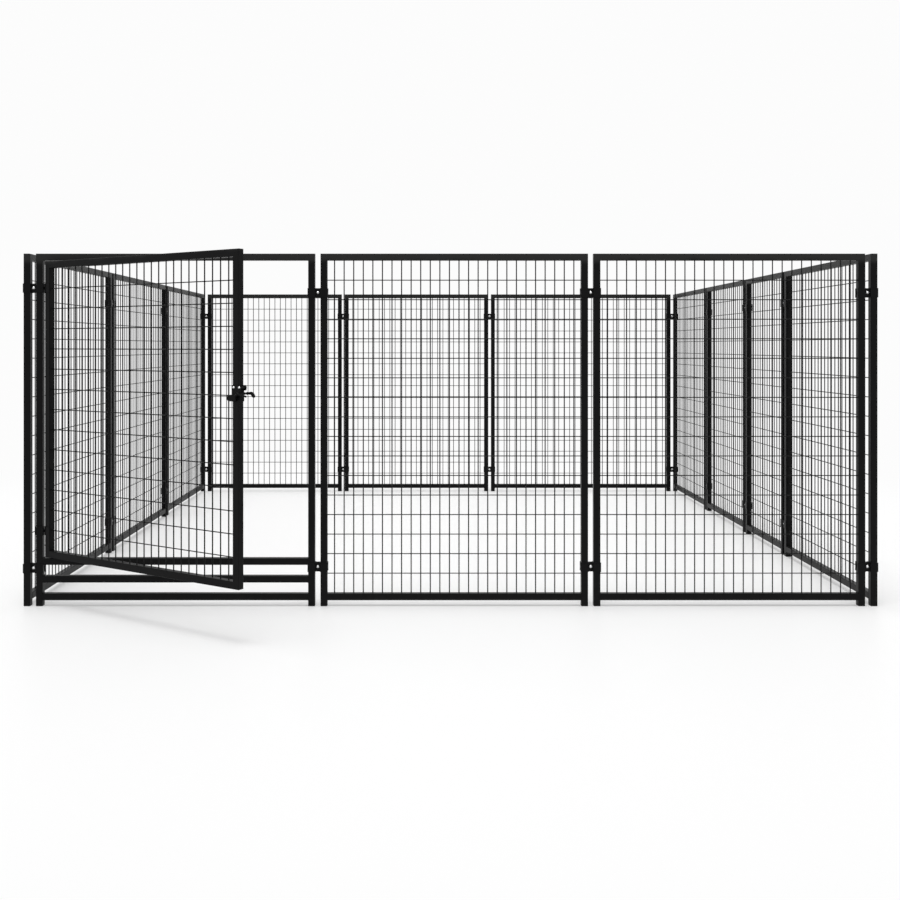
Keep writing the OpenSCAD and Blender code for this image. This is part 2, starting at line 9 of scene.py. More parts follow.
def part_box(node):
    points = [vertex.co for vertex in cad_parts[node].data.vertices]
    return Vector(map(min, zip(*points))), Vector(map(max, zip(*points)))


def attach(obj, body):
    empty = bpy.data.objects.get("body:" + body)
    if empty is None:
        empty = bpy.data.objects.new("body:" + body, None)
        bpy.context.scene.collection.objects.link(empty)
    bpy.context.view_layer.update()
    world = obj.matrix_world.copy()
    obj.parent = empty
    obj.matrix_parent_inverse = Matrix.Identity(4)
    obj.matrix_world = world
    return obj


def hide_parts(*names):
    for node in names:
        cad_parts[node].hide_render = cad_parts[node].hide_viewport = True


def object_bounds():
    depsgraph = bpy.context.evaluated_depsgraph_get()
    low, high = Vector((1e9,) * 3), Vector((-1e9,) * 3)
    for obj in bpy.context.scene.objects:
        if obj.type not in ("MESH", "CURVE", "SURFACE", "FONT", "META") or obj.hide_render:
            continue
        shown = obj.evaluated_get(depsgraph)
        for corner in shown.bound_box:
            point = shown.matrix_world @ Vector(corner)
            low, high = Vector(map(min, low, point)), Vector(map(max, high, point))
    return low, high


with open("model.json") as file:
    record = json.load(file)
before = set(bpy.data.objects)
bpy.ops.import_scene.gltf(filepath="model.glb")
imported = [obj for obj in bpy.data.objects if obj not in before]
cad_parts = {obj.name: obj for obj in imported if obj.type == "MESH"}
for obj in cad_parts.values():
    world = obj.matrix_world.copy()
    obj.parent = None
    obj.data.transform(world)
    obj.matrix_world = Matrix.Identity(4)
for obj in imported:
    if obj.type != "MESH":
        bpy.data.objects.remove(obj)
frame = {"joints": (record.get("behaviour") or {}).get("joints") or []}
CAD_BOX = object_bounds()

bl_info = {
    "name": "Dog kennel run",
    "version": (1, 0, 0),
    "blender": (4, 5, 0),
    "location": "View3D > Sidebar > Kennel",
    "description": "Dresses the packed kennel run with coated tubes, welded wire and fittings",
    "category": "Object",
}

MM = 0.001

# Sides of the yard: the turn that takes local X to the right as seen from outside, and its panels
SIDES = {
    "front": (0, ("frame_gate", "frame_front_middle", "frame_front_right")),
    "right": (90, ("frame_right_1", "frame_right_2", "frame_right_3", "frame_right_4")),
    "back": (180, ("frame_back_1", "frame_back_2", "frame_back_3")),
    "left": (-90, ("frame_left_1", "frame_left_2", "frame_left_3")),
}
GATE_PANEL = "frame_gate"
# First and last junction of each side that carries clamps; junction 0 stands before the first panel
CLAMPED = {"front": (0, 3), "right": (1, 3), "back": (0, 3), "left": (1, 2)}
# Powder coats: fineness of their orange peel, and how much dust they show
COATS = {"frame": (620.0, 0.05), "wire": (900.0, 0.03), "fitting": (1100.0, 0.04)}

# Points closer than this are one point; the mitred ends of two tubes meet less closely
MERGE = 0.01 * MM
MITRE_MERGE = 0.05 * MM
# How close to a fold, a rim or a level a point lies to be picked with it
NEAR = 0.1 * MM
# Faces round weld beads, turned pieces, small turned pieces and the cone that chamfers a nut
BEAD_SIDES = 8
TURNED_SIDES = 24
SMALL_SIDES = 20
CONE_SIDES = 32
# Largest edge angles, in degrees, that are shaded smoothly
SMOOTH_NUT = 35
SMOOTH_PLAIN = 40
SMOOTH_TURNED = 50
SMOOTH_ROUND = 60
# Dome of a hinge pin's head: share of its radius, and millimetres below its top
PIN_DOME = ((0.0, 0.0), (0.45, 0.15), (0.8, 0.7), (1.0, 1.7))
# Stretches of the fork's rear tine: length, slope in degrees, step outwards and radius at the end
HOOK = ((21 * MM, 3, 3 * MM, 7.2 * MM), (7 * MM, -24, 0, 8.4 * MM), (13 * MM, -51, 0, 7.8 * MM))


def size(name, text, millimetres):
    """Length property whose default is given in millimetres."""
    return bpy.props.FloatProperty(
        name=name, description=text, default=millimetres * MM, min=0.0, precision=5, unit="LENGTH")


def angle(name, text, degrees):
    """Angle property whose default is given in degrees."""
    return bpy.props.FloatProperty(
        name=name, description=text, default=math.radians(degrees), unit="ROTATION")


def count(name, text, value):
    """Whole-number property."""
    return bpy.props.IntProperty(name=name, description=text, default=value, min=1)


def number(name, text, value):
    """Plain number property."""
    return bpy.props.FloatProperty(name=name, description=text, default=value)


def share(name, text, value):
    """Factor property from 0 to 1."""
    return bpy.props.FloatProperty(
        name=name, description=text, default=value, min=0.0, max=1.0, subtype="FACTOR")


def colour(name, text, value):
    """Colour property from a red, green and blue value."""
    return bpy.props.FloatVectorProperty(
        name=name, description=text, default=value, min=0.0, max=1.0, size=3, subtype="COLOR")


def point(name, text, value):
    """Property for a place or a direction."""
    return bpy.props.FloatVectorProperty(
        name=name, description=text, default=value, size=3, subtype="XYZ")


class KennelTubeSizes(bpy.types.PropertyGroup):
    """Sizes of the square tubes, their welds and the feet"""

    side: size("Side", "Outside of the square tube", 35)
    corner: size("Corner", "Corner radius of the square tube", 3)
    corner_steps: count("Corner steps", "Faces round each tube corner", 4)
    leg: size("Leg", "Height of the bottom rails above the ground", 31)
    low_rails: count("Low rails", "Number of rails under the gate", 3)
    low_rail_step: size("Low rail step", "Spacing of the rails under the gate", 91.6)
    post_gap: size("Post gap", "Clear gap between neighbouring posts", 29)
    bead: size("Weld bead", "Radius of the weld beads", 2.3)
    bead_step: size("Weld step", "Length of one ripple of a weld bead", 1.6)
    seam_rise: size("Seam rise", "How far a dressed mitre weld stands proud", 0.35)
    plug: size("Plug", "Thickness of the plug under a post", 4)
    plug_bevel: size("Plug bevel", "Bevel round the plug's foot", 2)


class KennelWireSizes(bpy.types.PropertyGroup):
    """Sizes of the welded wire"""

    upright_pitch: size("Upright pitch", "Wanted spacing of the upright wires", 50)
    edge: size("First wire", "Distance from a post to the middle of the first upright wire", 37)
    row_pitch: size("Row pitch", "Wanted spacing of the rows", 101.6)
    upright: size("Upright wire", "Diameter of the upright wires", 6)
    row: size("Row wire", "Diameter of the row wires", 5)
    hairline: size("Hairline", "Gap left at the welded ends of the wires", 0.05)
    sides: count("Wire sides", "Faces round a wire", 8)
    flare: size("End weld", "How far the weld at a wire's end spreads past the wire", 1.1)
    flare_length: size("End weld length", "Length of the weld at a wire's end", 2.6)
    nugget: size("Weld nugget", "Radius of the nugget where two wires cross", 3.8)
    nugget_thick: size("Nugget thickness", "Half the thickness of a nugget", 2.1)


class KennelClampSizes(bpy.types.PropertyGroup):
    """Sizes of the clamps and their bolts"""

    height: size("Clamp height", "Height of a clamp half", 48)
    level: size("Clamp level", "Height of the lower clamps, and depth of the upper ones below the top", 203)
    hinge_up: size("Hinge clamp rise", "How much higher the upper clamp beside the hinges sits", 24)
    hinge_down: size("Hinge clamp drop", "How much lower the lower clamp beside the hinges sits", 7)
    sheet: size("Clamp sheet", "Sheet thickness of a clamp half", 3)
    play: size("Clamp play", "Play between a clamp half and the posts", 0.1)
    dip: size("Channel depth", "Depth of the pressed channel below the posts' faces", 8)
    fold: size("Fold radius", "Outside radius of the folded edges", 3)
    flange: size("Flange height", "Height of the side flanges", 20)
    flange_tip: size("Flange tip", "Distance of the flange's tip from the middle of the tube", 7.025)
    bolt: size("Bolt", "Shank diameter of the clamp bolts", 8)
    head: size("Bolt head", "Diameter of the crowned heads", 18)
    head_rise: size("Head height", "Height of the heads", 5)
    crown: share("Crown", "Share of a bolt head's height that is its crown", 0.82)
    nut: size("Nut", "Nut size across the flats", 13)
    nut_height: size("Nut height", "Height of the nuts", 6.5)
    bolt_over: size("Bolt end", "Length of shank past the nut", 1.5)


class KennelGateSizes(bpy.types.PropertyGroup):
    """Gaps beside the gate leaf"""

    hinge_gap: size("Hinge gap", "Gap between the hinge post and the leaf", 10)
    latch_gap: size("Latch gap", "Gap between the leaf and the latch post", 18)


class KennelHingeSizes(bpy.types.PropertyGroup):
    """Sizes of the gate's hinges"""

    height: size("Hinge height", "Height of a hinge", 44)
    sheet: size("Hinge sheet", "Thickness of a hinge leaf", 2.95)
    knuckle: size("Knuckle", "Outside radius of a hinge knuckle", 6)
    knuckle_clear: size("Knuckle clearance", "Space between a knuckle and the leaves' edges", 1.75)
    knuckle_gap: size("Knuckle gap", "Gap between neighbouring knuckles", 0.4)
    roll_steps: count("Roll steps", "Faces round a rolled knuckle", 32)
    post_roll: angle("Post roll", "How far the post leaves' straps roll round the pin", 255)
    gate_roll: angle("Gate roll", "How far the gate leaves' straps roll round the pin", 285)
    leaf_return: size("Leaf return", "Depth of a gate leaf's return along the stile", 9)
    pin: size("Hinge pin", "Radius of the hinge pins", 3)
    pin_head: size("Pin head", "Radius of the pins' heads", 5)
    pin_head_rise: size("Pin head height", "Height of the pins' heads", 3)


class KennelLatchSizes(bpy.types.PropertyGroup):
    """Sizes of the latch plates, the pivot barrel and their bolts"""

    level: size("Latch level", "Height of the fork's pivot", 1136)
    plate: size("Plate", "Thickness of the latch plates", 3)
    plate_up: size("Plate top", "Reach of the latch plates above the pivot", 38)
    plate_down: size("Plate bottom", "Reach of the latch plates below the pivot", 36)
    plate_in: size("Plate inside", "Reach of the latch plates past the stile's inner edge", 3)
    plate_out: size("Plate outside", "Reach of the latch plates past the barrel and the stile", 1)
    ear: size("Ear", "Height of the back plate's ear", 24)
    barrel: size("Barrel", "Outside radius of the pivot barrel", 6)
    barrel_clear: size("Barrel clearance", "Space between the stile and the barrel", 2)
    spacer: size("Spacer", "Outside radius of the sleeve on the outer bolt", 5)
    bolt_up: size("Bolt level", "Height of the bolts above the pivot", 27)
    bolt_in: size("Bolt place", "Distance of the inner bolt from the stile's inner edge", 9)
    bolt: size("Latch bolt", "Shank diameter of the latch bolts", 6)
    head: size("Latch bolt head", "Diameter of the crowned heads", 13)
    head_rise: size("Latch head height", "Height of the heads", 4)
    nut: size("Latch nut", "Nut size across the flats", 10)
    nut_height: size("Latch nut height", "Height of the nuts", 5)


class KennelForkSizes(bpy.types.PropertyGroup):
    """Sizes of the lift-up fork"""

    bar: size("Fork bar", "Radius of the fork's bar", 4)
    out: size("Tine line", "Distance of the tines from the middle of the gate", 32.55)
    boss: size("Boss", "Radius of the bosses at the bar's ends", 7.2)
    tine_over: size("Tine reach", "Reach of the front tine past the latch post", 7)
    tine_drop: angle("Tine drop", "Slope of the front tine", 12)
    lever: size("Lever", "Length of the lever from the bar to its pad", 31)
    lever_tilt: angle("Lever tilt", "Slope of the lever down to its pad", 37)
    pad: size("Pad", "Radius of the thumb pad at the lever", 16)
    pad_end: size("Pad end", "Radius of the thumb pad at its free end", 14)
    pad_reach: size("Pad reach", "Distance between the pad's two ends", 22)
    pad_depth: size("Pad thickness", "Thickness of the thumb pad", 10)


class KennelFinishes(bpy.types.PropertyGroup):
    """Colours and gloss of the kennel"""

    frame: colour("Frame coat", "Powder coat of the tubes", (0.0028, 0.0028, 0.0030))
    wire: colour("Wire coat", "Coat of the wire mesh", (0.0028, 0.0028, 0.0030))
    fitting: colour("Fitting coat", "Coat of the clamps, hinges and latch", (0.0026, 0.0026, 0.0028))
    coat_rough: share("Coat roughness", "Roughness of the powder coats", 0.38)
    coat_gloss: share("Coat gloss", "Specular level of the powder coats", 0.09)
    # Painted light: a lighter coat along the top rails stands in for the sheen they catch from the light
    painted_rail_sheen: colour("Chalked coat", "Coat that the sun has dulled along the top rails", (0.022, 0.022, 0.0215))
    sheen_below: size("Chalk start", "How far under the top rails the chalking starts", 22)
    sheen_above: size("Chalk end", "How far up the top rails the chalking is full", 14)
    sheen_edge: size("Chalk edge", "How ragged the edge of the chalking is", 50)
    dust: colour("Dust", "Fine dust on upper faces and near the ground", (0.14, 0.135, 0.125))
    splash: size("Splash height", "Height up to which dust is splashed", 450)
    zinc: colour("Zinc", "Plating of the bolts and nuts", (0.88, 0.885, 0.89))
    zinc_rough: share("Zinc roughness", "Roughness of the filmed plating", 0.46)
    # Painted shade: dark colour given to the downward faces of the bolts and nuts
    painted_underside_shade: colour("Zinc film", "Dull film on the undersides of the bolts and nuts", (0.06, 0.06, 0.058))
    plastic: colour("Plug plastic", "Moulded plastic of the feet", (0.010, 0.010, 0.010))
    plastic_rough: share("Plug roughness", "Roughness of the plastic", 0.55)
    plastic_gloss: share("Plug gloss", "Specular level of the plastic", 0.35)


class KennelStudio(bpy.types.PropertyGroup):
    """Floor, light and camera of the stage"""

    backdrop: colour("Backdrop", "Pale studio background", (0.975, 0.975, 0.975))
    floor: colour("Floor", "Colour of the floor", (0.9, 0.9, 0.9))
    floor_rough: share("Floor roughness", "Roughness of the floor", 0.45)
    floor_gloss: share("Floor gloss", "Specular level of the floor", 0.25)
    floor_span: size("Floor span", "Width and depth of the floor", 120000)
    glow: share("Floor paleness", "Share of the backdrop that the floor shows under the kennel", 0.26)
    fade_start: size("Fade start", "Distance from the kennel's middle at which the floor turns paler", 2200)
    fade_end: size("Fade end", "Distance at which the floor is all backdrop", 6000)
    surround: number("Surround", "Strength of the soft light from all round", 0.62)
    key_from: point("Key direction", "Direction from which the key light comes", (-0.08, -0.1, 1.0))
    key_away: number("Key distance", "Distance of the key light along that direction", 8.0)
    key_spread: angle("Key spread", "Angle that the key light spreads over", 27)
    key_strength: number("Key strength", "Strength of the key light", 1.8)
    camera: point("Camera", "Place of the camera", (2.0631, -5.3835, 1.350))
    lens: number("Lens", "Focal length of the camera in millimetres", 41.4)
    shift_x: number("Shift across", "Sideways shift of the camera's frame", 0.0281)
    shift_y: number("Shift up", "Upward shift of the camera's frame", -0.1156)


def sizes_of(group):
    """Values of one group, as the sidebar shows them."""
    return getattr(bpy.context.scene, f"kennel_{group}")


# Modelling tools


def leave():
    """Goes back to object mode with nothing selected."""
    if bpy.context.mode != "OBJECT":
        bpy.ops.object.mode_set(mode="OBJECT")
    bpy.ops.object.select_all(action="DESELECT")


def choose(piece):
    """Selects one piece alone, in object mode."""
    leave()
    piece.select_set(True)
    bpy.context.view_layer.objects.active = piece


def start(shape, **options):
    """Adds a primitive with nothing else selected and opens all of it in edit mode."""
    leave()
    getattr(bpy.ops.mesh, f"primitive_{shape}_add")(**options)
    bpy.ops.object.mode_set(mode="EDIT")
    bpy.ops.mesh.select_mode(type="VERT")
    pick_all()
    return bpy.context.object


def pick(kind, test):
    """Selects the vertices, edges or faces of the open mesh that pass a test."""
    bpy.ops.mesh.select_mode(type=kind)
    bpy.ops.mesh.select_all(action="DESELECT")
    data = bpy.context.object.data
    mesh = bmesh.from_edit_mesh(data)
    for item in {"VERT": mesh.verts, "EDGE": mesh.edges, "FACE": mesh.faces}[kind]:
        if test(item):
            item.select_set(True)
    mesh.select_flush_mode()
    bmesh.update_edit_mesh(data)


def pick_all():
    """Selects the whole open mesh."""
    bpy.ops.mesh.select_all(action="SELECT")


def push(step):
    """Extrudes the selected faces or edges by a step."""
    bpy.ops.mesh.extrude_region_move(TRANSFORM_OT_translate={"value": step})


def widen(factor, height):
    """Scales what is selected sideways about the Z axis, at a height."""
    bpy.ops.transform.resize(value=(factor, factor, 1), center_override=(0, 0, height))


def stretch(factors):
    """Scales what is selected along the axes, about the origin."""
    bpy.ops.transform.resize(value=factors, center_override=(0, 0, 0))


def round_off(offset, steps, affect="VERTICES"):
    """Rounds the selected corners or edges."""
    bpy.ops.mesh.bevel(offset=offset, segments=steps, affect=affect)


def draw(points):
    """Draws a line of edges through points and leaves it open in edit mode."""
    piece = start("plane", size=MM)
    bpy.ops.mesh.merge(type="CENTER")
    bpy.ops.transform.translate(value=points[0])
    for here, there in zip(points, points[1:]):
        bpy.ops.mesh.extrude_vertices_move(
            TRANSFORM_OT_translate={"value": Vector(there) - Vector(here)})
    return piece


def close(merge=MERGE):
    """Merges doubles, turns the faces outwards and leaves edit mode."""
    pick_all()
    bpy.ops.mesh.remove_doubles(threshold=merge)
    bpy.ops.mesh.normals_make_consistent(inside=False)
    piece = bpy.context.object
    bpy.ops.object.mode_set(mode="OBJECT")
    return piece


def apply(piece, kind, **settings):
    """Adds a modifier to a piece and applies it."""
    change = piece.modifiers.new(kind.title(), kind)
    for key, value in settings.items():
        setattr(change, key, value)
    choose(piece)
    bpy.ops.object.modifier_apply(modifier=change.name)
    return piece


def repeat(piece, times, step):
    """Repeats a piece along a step."""
    return apply(piece, "ARRAY", count=times, use_relative_offset=False,
                 use_constant_offset=True, constant_offset_displace=step)


def cut(piece, tool, operation):
    """Cuts a piece with a tool, which is then thrown away."""
    apply(piece, "BOOLEAN", operation=operation, object=tool, solver="EXACT")
    discard(tool)


def soften(piece, width, limit=35):
    """Rounds the edges of a piece that are sharper than a limit and shades it smoothly."""
    apply(piece, "BEVEL", width=width, segments=2, limit_method="ANGLE",
          angle_limit=math.radians(limit), use_clamp_overlap=True)
    return smooth(piece)


def smooth(piece, limit=SMOOTH_PLAIN):
    """Shades a piece smoothly up to an edge angle."""
    choose(piece)
    bpy.ops.object.shade_smooth_by_angle(angle=math.radians(limit))
    return piece


def twin(piece, place):
    """Copies a piece with its own mesh to a place."""
    made = piece.copy()
    made.data = piece.data.copy()
    bpy.context.scene.collection.objects.link(made)
    made.matrix_world = place @ piece.matrix_world
    return made


def join(parts, merge=None):
    """Joins parts into one piece whose place is in its mesh."""
    leave()
    for part in parts:
        part.select_set(True)
    bpy.context.view_layer.objects.active = parts[0]
    bpy.ops.object.transform_apply(location=True, rotation=True, scale=True)
    if len(parts) > 1:
        bpy.ops.object.join()
    piece = bpy.context.object
    if merge:
        bpy.ops.object.mode_set(mode="EDIT")
        close(merge)
    return piece


def hull(parts):
    """Stretches one closed skin round parts."""
    join(parts)
    bpy.ops.object.mode_set(mode="EDIT")
    pick_all()
    bpy.ops.mesh.convex_hull()
    return close()


def discard(*pieces):
    """Removes pieces that were only modelled to be copied or to cut with."""
    for piece in pieces:
        bpy.data.meshes.remove(piece.data)


def move(x=0.0, y=0.0, z=0.0):
    """Matrix of a shift."""
    return Matrix.Translation((x, y, z))


def turn(degrees, axis):
    """Matrix of a turn about an axis through the origin."""
    return Matrix.Rotation(math.radians(degrees), 4, axis)


def lathe(profile, sides):
    """Turns a profile of (radius, height) points about Z."""
    draw([(radius, 0, height) for radius, height in profile])
    pick_all()
    bpy.ops.mesh.spin(steps=sides, angle=math.tau, center=(0, 0, 0), axis=(0, 0, 1))
    return close()


def hand_over(piece, name, body, slot, node):
    """Names a finished piece, gives it its finish and sets it on its body in the place of a node."""
    piece.name = piece.data.name = name
    piece.data.materials.clear()
    piece.data.materials.append(bpy.data.materials[f"kennel_{slot}"])
    if slot != "wire_coat":
        apply(piece, "WEIGHTED_NORMAL", keep_sharp=True)
    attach(piece, body)
    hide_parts(node)


# Places


def panel_place(node, degrees):
    """Matrix from a panel's own frame, whose origin is its left foot, and the panel's width."""
    low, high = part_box(node)
    along = Vector((math.cos(math.radians(degrees)), math.sin(math.radians(degrees)), 0))
    width = abs((high - low).dot(along))
    corner = (low + high) / 2 - along * width / 2
    return move(corner.x, corner.y, 0) @ turn(degrees, "Z"), width


def panels():
    """Node, place and width of every panel of the yard."""
    for degrees, nodes in SIDES.values():
        for node in nodes:
            yield node, *panel_place(node, degrees)


def panel_height():
    """Height of the panels."""
    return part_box("frame_front_middle")[1].z


def junctions(side):
    """Matrices of the clamps of a side, centred on their bolts, at both levels of each junction."""
    sizes = sizes_of("clamps")
    gap = sizes_of("tubes").post_gap
    degrees, nodes = SIDES[side]
    first, last = CLAMPED[side]
    places = []
    for index in range(first, last + 1):
        if index < len(nodes):
            place, _ = panel_place(nodes[index], degrees)
            along = -gap / 2
        else:
            place, width = panel_place(nodes[-1], degrees)
            along = width + gap / 2
        beside_hinges = side == "front" and index == 0
        up, down = (sizes.hinge_up, sizes.hinge_down) if beside_hinges else (0, 0)
        for level in (sizes.level - down, panel_height() - sizes.level + up):
            places.append(place @ move(along, 0, level))
    return places


def joint(name):
    """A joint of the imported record."""
    return next(j for j in frame["joints"] if j["name"] == name)


def gate_place():
    """Matrix that takes the closed gate to the angle at which it stands open."""
    swing = joint("gate_swing")
    x, y, _ = swing["pos_m"]
    return move(x, y) @ turn(swing["range_deg"][0], "Z") @ move(-x, -y)


def leaf_box():
    """Left edge, bottom, width and height of the closed gate leaf."""
    side = sizes_of("tubes").side
    gate = sizes_of("gate")
    low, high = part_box("gate_frame")
    panel_low, panel_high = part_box(GATE_PANEL)
    left = panel_low.x + side + gate.hinge_gap
    return left, low.z, panel_high.x - side - gate.latch_gap - left, high.z - low.z


# Tubes and welds


def tube_bar(length, mitre_start=False, mitre_end=False):
    """Square tube along Z; a mitred end is left open and is longest on the -X side."""
    sizes = sizes_of("tubes")
    start("plane", size=sizes.side)
    round_off(sizes.corner, sizes.corner_steps)
    pick_all()
    push((0, 0, length))
    for wanted, height, way in ((mitre_start, 0, -1), (mitre_end, length, 1)):
        if wanted:
            pick_all()
            bpy.ops.mesh.bisect(
                plane_co=(-sizes.side / 2, 0, height), plane_no=(1, 0, way), clear_outer=True)
    return close()


def weld_bead(length):
    """Rippled weld bead along Z, centred on the origin."""
    sizes = sizes_of("tubes")
    ripples = round(length / sizes.bead_step)
    step = length / ripples
    bottom = -length / 2
    crest, dip, end = 1.0, 0.84, 0.6
    start("circle", vertices=BEAD_SIDES, radius=sizes.bead * end, fill_type="NGON")
    bpy.ops.transform.translate(value=(0, 0, bottom))
    now = end
    for ripple in range(1, ripples + 1):
        push((0, 0, step))
        want = crest if ripple % 2 else dip
        if ripple == ripples:
            want = end
        widen(want / now, bottom + ripple * step)
        now = want
    return smooth(close(), SMOOTH_ROUND)


def mitre_bead():
    """Weld bead as long as the flat of a mitre."""
    sizes = sizes_of("tubes")
    return weld_bead(sizes.side * math.sqrt(2) - 2 * sizes.corner)


def rail_welds(left, right, bottom, bead):
    """Weld beads round both ends of a rail between two posts, in a panel's frame."""
    sizes = sizes_of("tubes")
    half = sizes.side / 2
    sunk = half - 1.6 * MM
    made = []
    for x in (left, right):
        for z in (bottom, bottom + sizes.side):
            made.append(twin(bead, move(x, 0, z) @ turn(90, "X")))
        for y in (-sunk, sunk):
            made.append(twin(bead, move(x, y, bottom + half)))
    return made


def mitre_welds(left, right, height, bead, up=1):
    """Dressed weld seams on the mitres of two corners, in a panel's frame."""
    sizes = sizes_of("tubes")
    half = sizes.side / 2
    sunk = half - sizes.bead + sizes.seam_rise
    made = []
    for x, way in ((left + half, 1), (right - half, -1)):
        for y in (-sunk, sunk):
            made.append(twin(bead, move(x, y, height - up * half) @ turn(way * up * -45, "Y")))
    return made


def tubes_of(parts):
    """Joins tubes at their mitres into one smooth piece."""
    return smooth(join(parts, MITRE_MERGE))


class KENNEL_OT_panel_frames(bpy.types.Operator):
    """Builds the tube frames of the yard's panels with their welds"""

    bl_idname = "kennel.panel_frames"
    bl_label = "Panel frames"

    def execute(self, context):
        sizes = sizes_of("tubes")
        half = sizes.side / 2
        top = panel_height()
        post = tube_bar(top - sizes.plug, mitre_end=True)
        bead = weld_bead(sizes.side - 2 * sizes.corner)
        mitre = mitre_bead()
        for node, place, width in panels():
            rail = tube_bar(width, mitre_start=True, mitre_end=True)
            low_rail = smooth(tube_bar(width - 2 * sizes.side))
            parts = [tubes_of([
                twin(post, move(half, 0, sizes.plug)),
                twin(post, move(width - half, 0, sizes.plug) @ turn(180, "Z")),
                twin(rail, move(0, 0, top - half) @ turn(90, "Y")),
            ])]
            for step in range(sizes.low_rails if node == GATE_PANEL else 1):
                low = sizes.leg + step * sizes.low_rail_step
                parts.append(twin(low_rail, move(sizes.side, 0, low + half) @ turn(90, "Y")))
                parts += rail_welds(sizes.side, width - sizes.side, low, bead)
            parts += mitre_welds(0, width, top, mitre)
            piece = join(parts)
            piece.data.transform(place)
            hand_over(piece, f"{node}_tubes", "yard", "frame_coat", node)
            discard(rail, low_rail)
        discard(post, bead, mitre)
        return {"FINISHED"}


# Welded wire


def wire(length, radius):
    """Wire along Z from the origin, with a spread weld at each end."""
    sizes = sizes_of("wires")
    wide = radius + sizes.flare
    neck = radius + sizes.flare * 0.35
    far = sizes.flare_length
    near = far * 0.4
    rings = ((near, neck), (far, radius), (length - far, radius), (length - near, neck), (length, wide))
    start("circle", vertices=sizes.sides, radius=wide, fill_type="NGON")
    now, at = wide, 0.0
    for height, want in rings:
        push((0, 0, height - at))
        if want != now:
            widen(want / now, height)
        now, at = want, height
    return close()


def nugget():
    """Squashed weld nugget where two wires cross, flat along Y."""
    sizes = sizes_of("wires")
    flat, squat = sizes.nugget_thick / sizes.nugget, 0.8
    start("ico_sphere", subdivisions=1, radius=sizes.nugget)
    stretch((1, flat, 1))
    pick("VERT", lambda v: abs(v.co.z) > sizes.nugget - NEAR)
    stretch((1, 1, squat))
    return close()


def wire_net(width, height):
    """Welded wire grid filling a width and height, from its lower left corner."""
    sizes = sizes_of("wires")
    across = round((width - 2 * sizes.edge) / sizes.upright_pitch)
    rows = round(height / sizes.row_pitch)
    pitch_x, pitch_z = (width - 2 * sizes.edge) / across, height / rows
    back = (sizes.upright + sizes.row + sizes.hairline) / 2
    upright = wire(height - 2 * sizes.hairline, sizes.upright / 2)
    uprights = twin(upright, move(sizes.edge, sizes.upright / 2 - back, sizes.hairline))
    repeat(uprights, across + 1, (pitch_x, 0, 0))
    row = wire(width - 2 * sizes.hairline, sizes.row / 2)
    lines = twin(row, move(sizes.hairline, back - sizes.row / 2, pitch_z) @ turn(90, "Y"))
    repeat(lines, rows - 1, (-pitch_z, 0, 0))
    spot = nugget()
    spots = twin(spot, move(sizes.edge, sizes.upright - back, pitch_z))
    repeat(spots, across + 1, (pitch_x, 0, 0))
    repeat(spots, rows - 1, (0, 0, pitch_z))
    discard(upright, row, spot)
    return smooth(join([uprights, lines, spots]), SMOOTH_ROUND)


class KENNEL_OT_panel_wires(bpy.types.Operator):
    """Builds the welded wire of the yard's panels"""

    bl_idname = "kennel.panel_wires"
    bl_label = "Panel wire"

    def execute(self, context):
        sizes = sizes_of("tubes")
        height = panel_height() - sizes.leg - 2 * sizes.side
        for node, place, width in panels():
            if node == GATE_PANEL:
                continue
            piece = wire_net(width - 2 * sizes.side, height)
            piece.data.transform(place @ move(sizes.side, 0, sizes.leg + sizes.side))
            mesh_node = node.replace("frame_", "mesh_")
            hand_over(piece, f"{mesh_node}_wires", "yard", "wire_coat", mesh_node)
        return {"FINISHED"}


class KENNEL_OT_gate_leaf(bpy.types.Operator):
    """Builds the gate's tube frame and its welded wire"""

    bl_idname = "kennel.gate_leaf"
    bl_label = "Gate leaf"

    def execute(self, context):
        side = sizes_of("tubes").side
        half = side / 2
        left, bottom, width, height = leaf_box()
        right, top = left + width, bottom + height
        stile = tube_bar(height, mitre_start=True, mitre_end=True)
        rail = tube_bar(width, mitre_start=True, mitre_end=True)
        mitre = mitre_bead()
        tubes = tubes_of([
            twin(stile, move(left + half, 0, bottom)),
            twin(stile, move(right - half, 0, bottom) @ turn(180, "Z")),
            twin(rail, move(left, 0, top - half) @ turn(90, "Y")),
            twin(rail, move(left, 0, bottom + half) @ turn(180, "X") @ turn(90, "Y")),
        ])
        welds = mitre_welds(left, right, top, mitre) + mitre_welds(left, right, bottom, mitre, up=-1)
        piece = join([tubes, *welds])
        piece.data.transform(gate_place())
        hand_over(piece, "gate_frame_tubes", "gate", "frame_coat", "gate_frame")
        net = wire_net(width - 2 * side, height - 2 * side)
        net.data.transform(gate_place() @ move(left + side, 0, bottom + side))
        hand_over(net, "gate_mesh_wires", "gate", "wire_coat", "gate_mesh")
        discard(stile, rail, mitre)
        return {"FINISHED"}


class KENNEL_OT_foot_plugs(bpy.types.Operator):
    """Builds the moulded plugs under the posts"""

    bl_idname = "kennel.foot_plugs"
    bl_label = "Foot plugs"

    def execute(self, context):
        sizes = sizes_of("tubes")
        half = sizes.side / 2
        foot = sizes.side - 2 * sizes.plug_bevel
        corner, rim, hollow, ease = sizes.corner * 0.7, 5 * MM, 0.8 * MM, 0.3 * MM
        start("plane", size=foot)
        round_off(corner, steps=2)
        pick_all()
        push((0, 0, sizes.plug_bevel))
        widen(sizes.side / foot, sizes.plug_bevel)
        push((0, 0, sizes.plug - sizes.plug_bevel))
        pick("FACE", lambda f: f.calc_center_median().z < NEAR)
        bpy.ops.mesh.inset(thickness=rim)
        bpy.ops.transform.translate(value=(0, 0, hollow))
        plug = soften(close(), ease)
        piece = join([
            twin(plug, place @ move(x)) for _, place, width in panels() for x in (half, width - half)])
        hand_over(piece, "foot_plugs_moulded", "yard", "plug_plastic", "foot_plugs")
        discard(plug)
        return {"FINISHED"}


# Clamps and fasteners


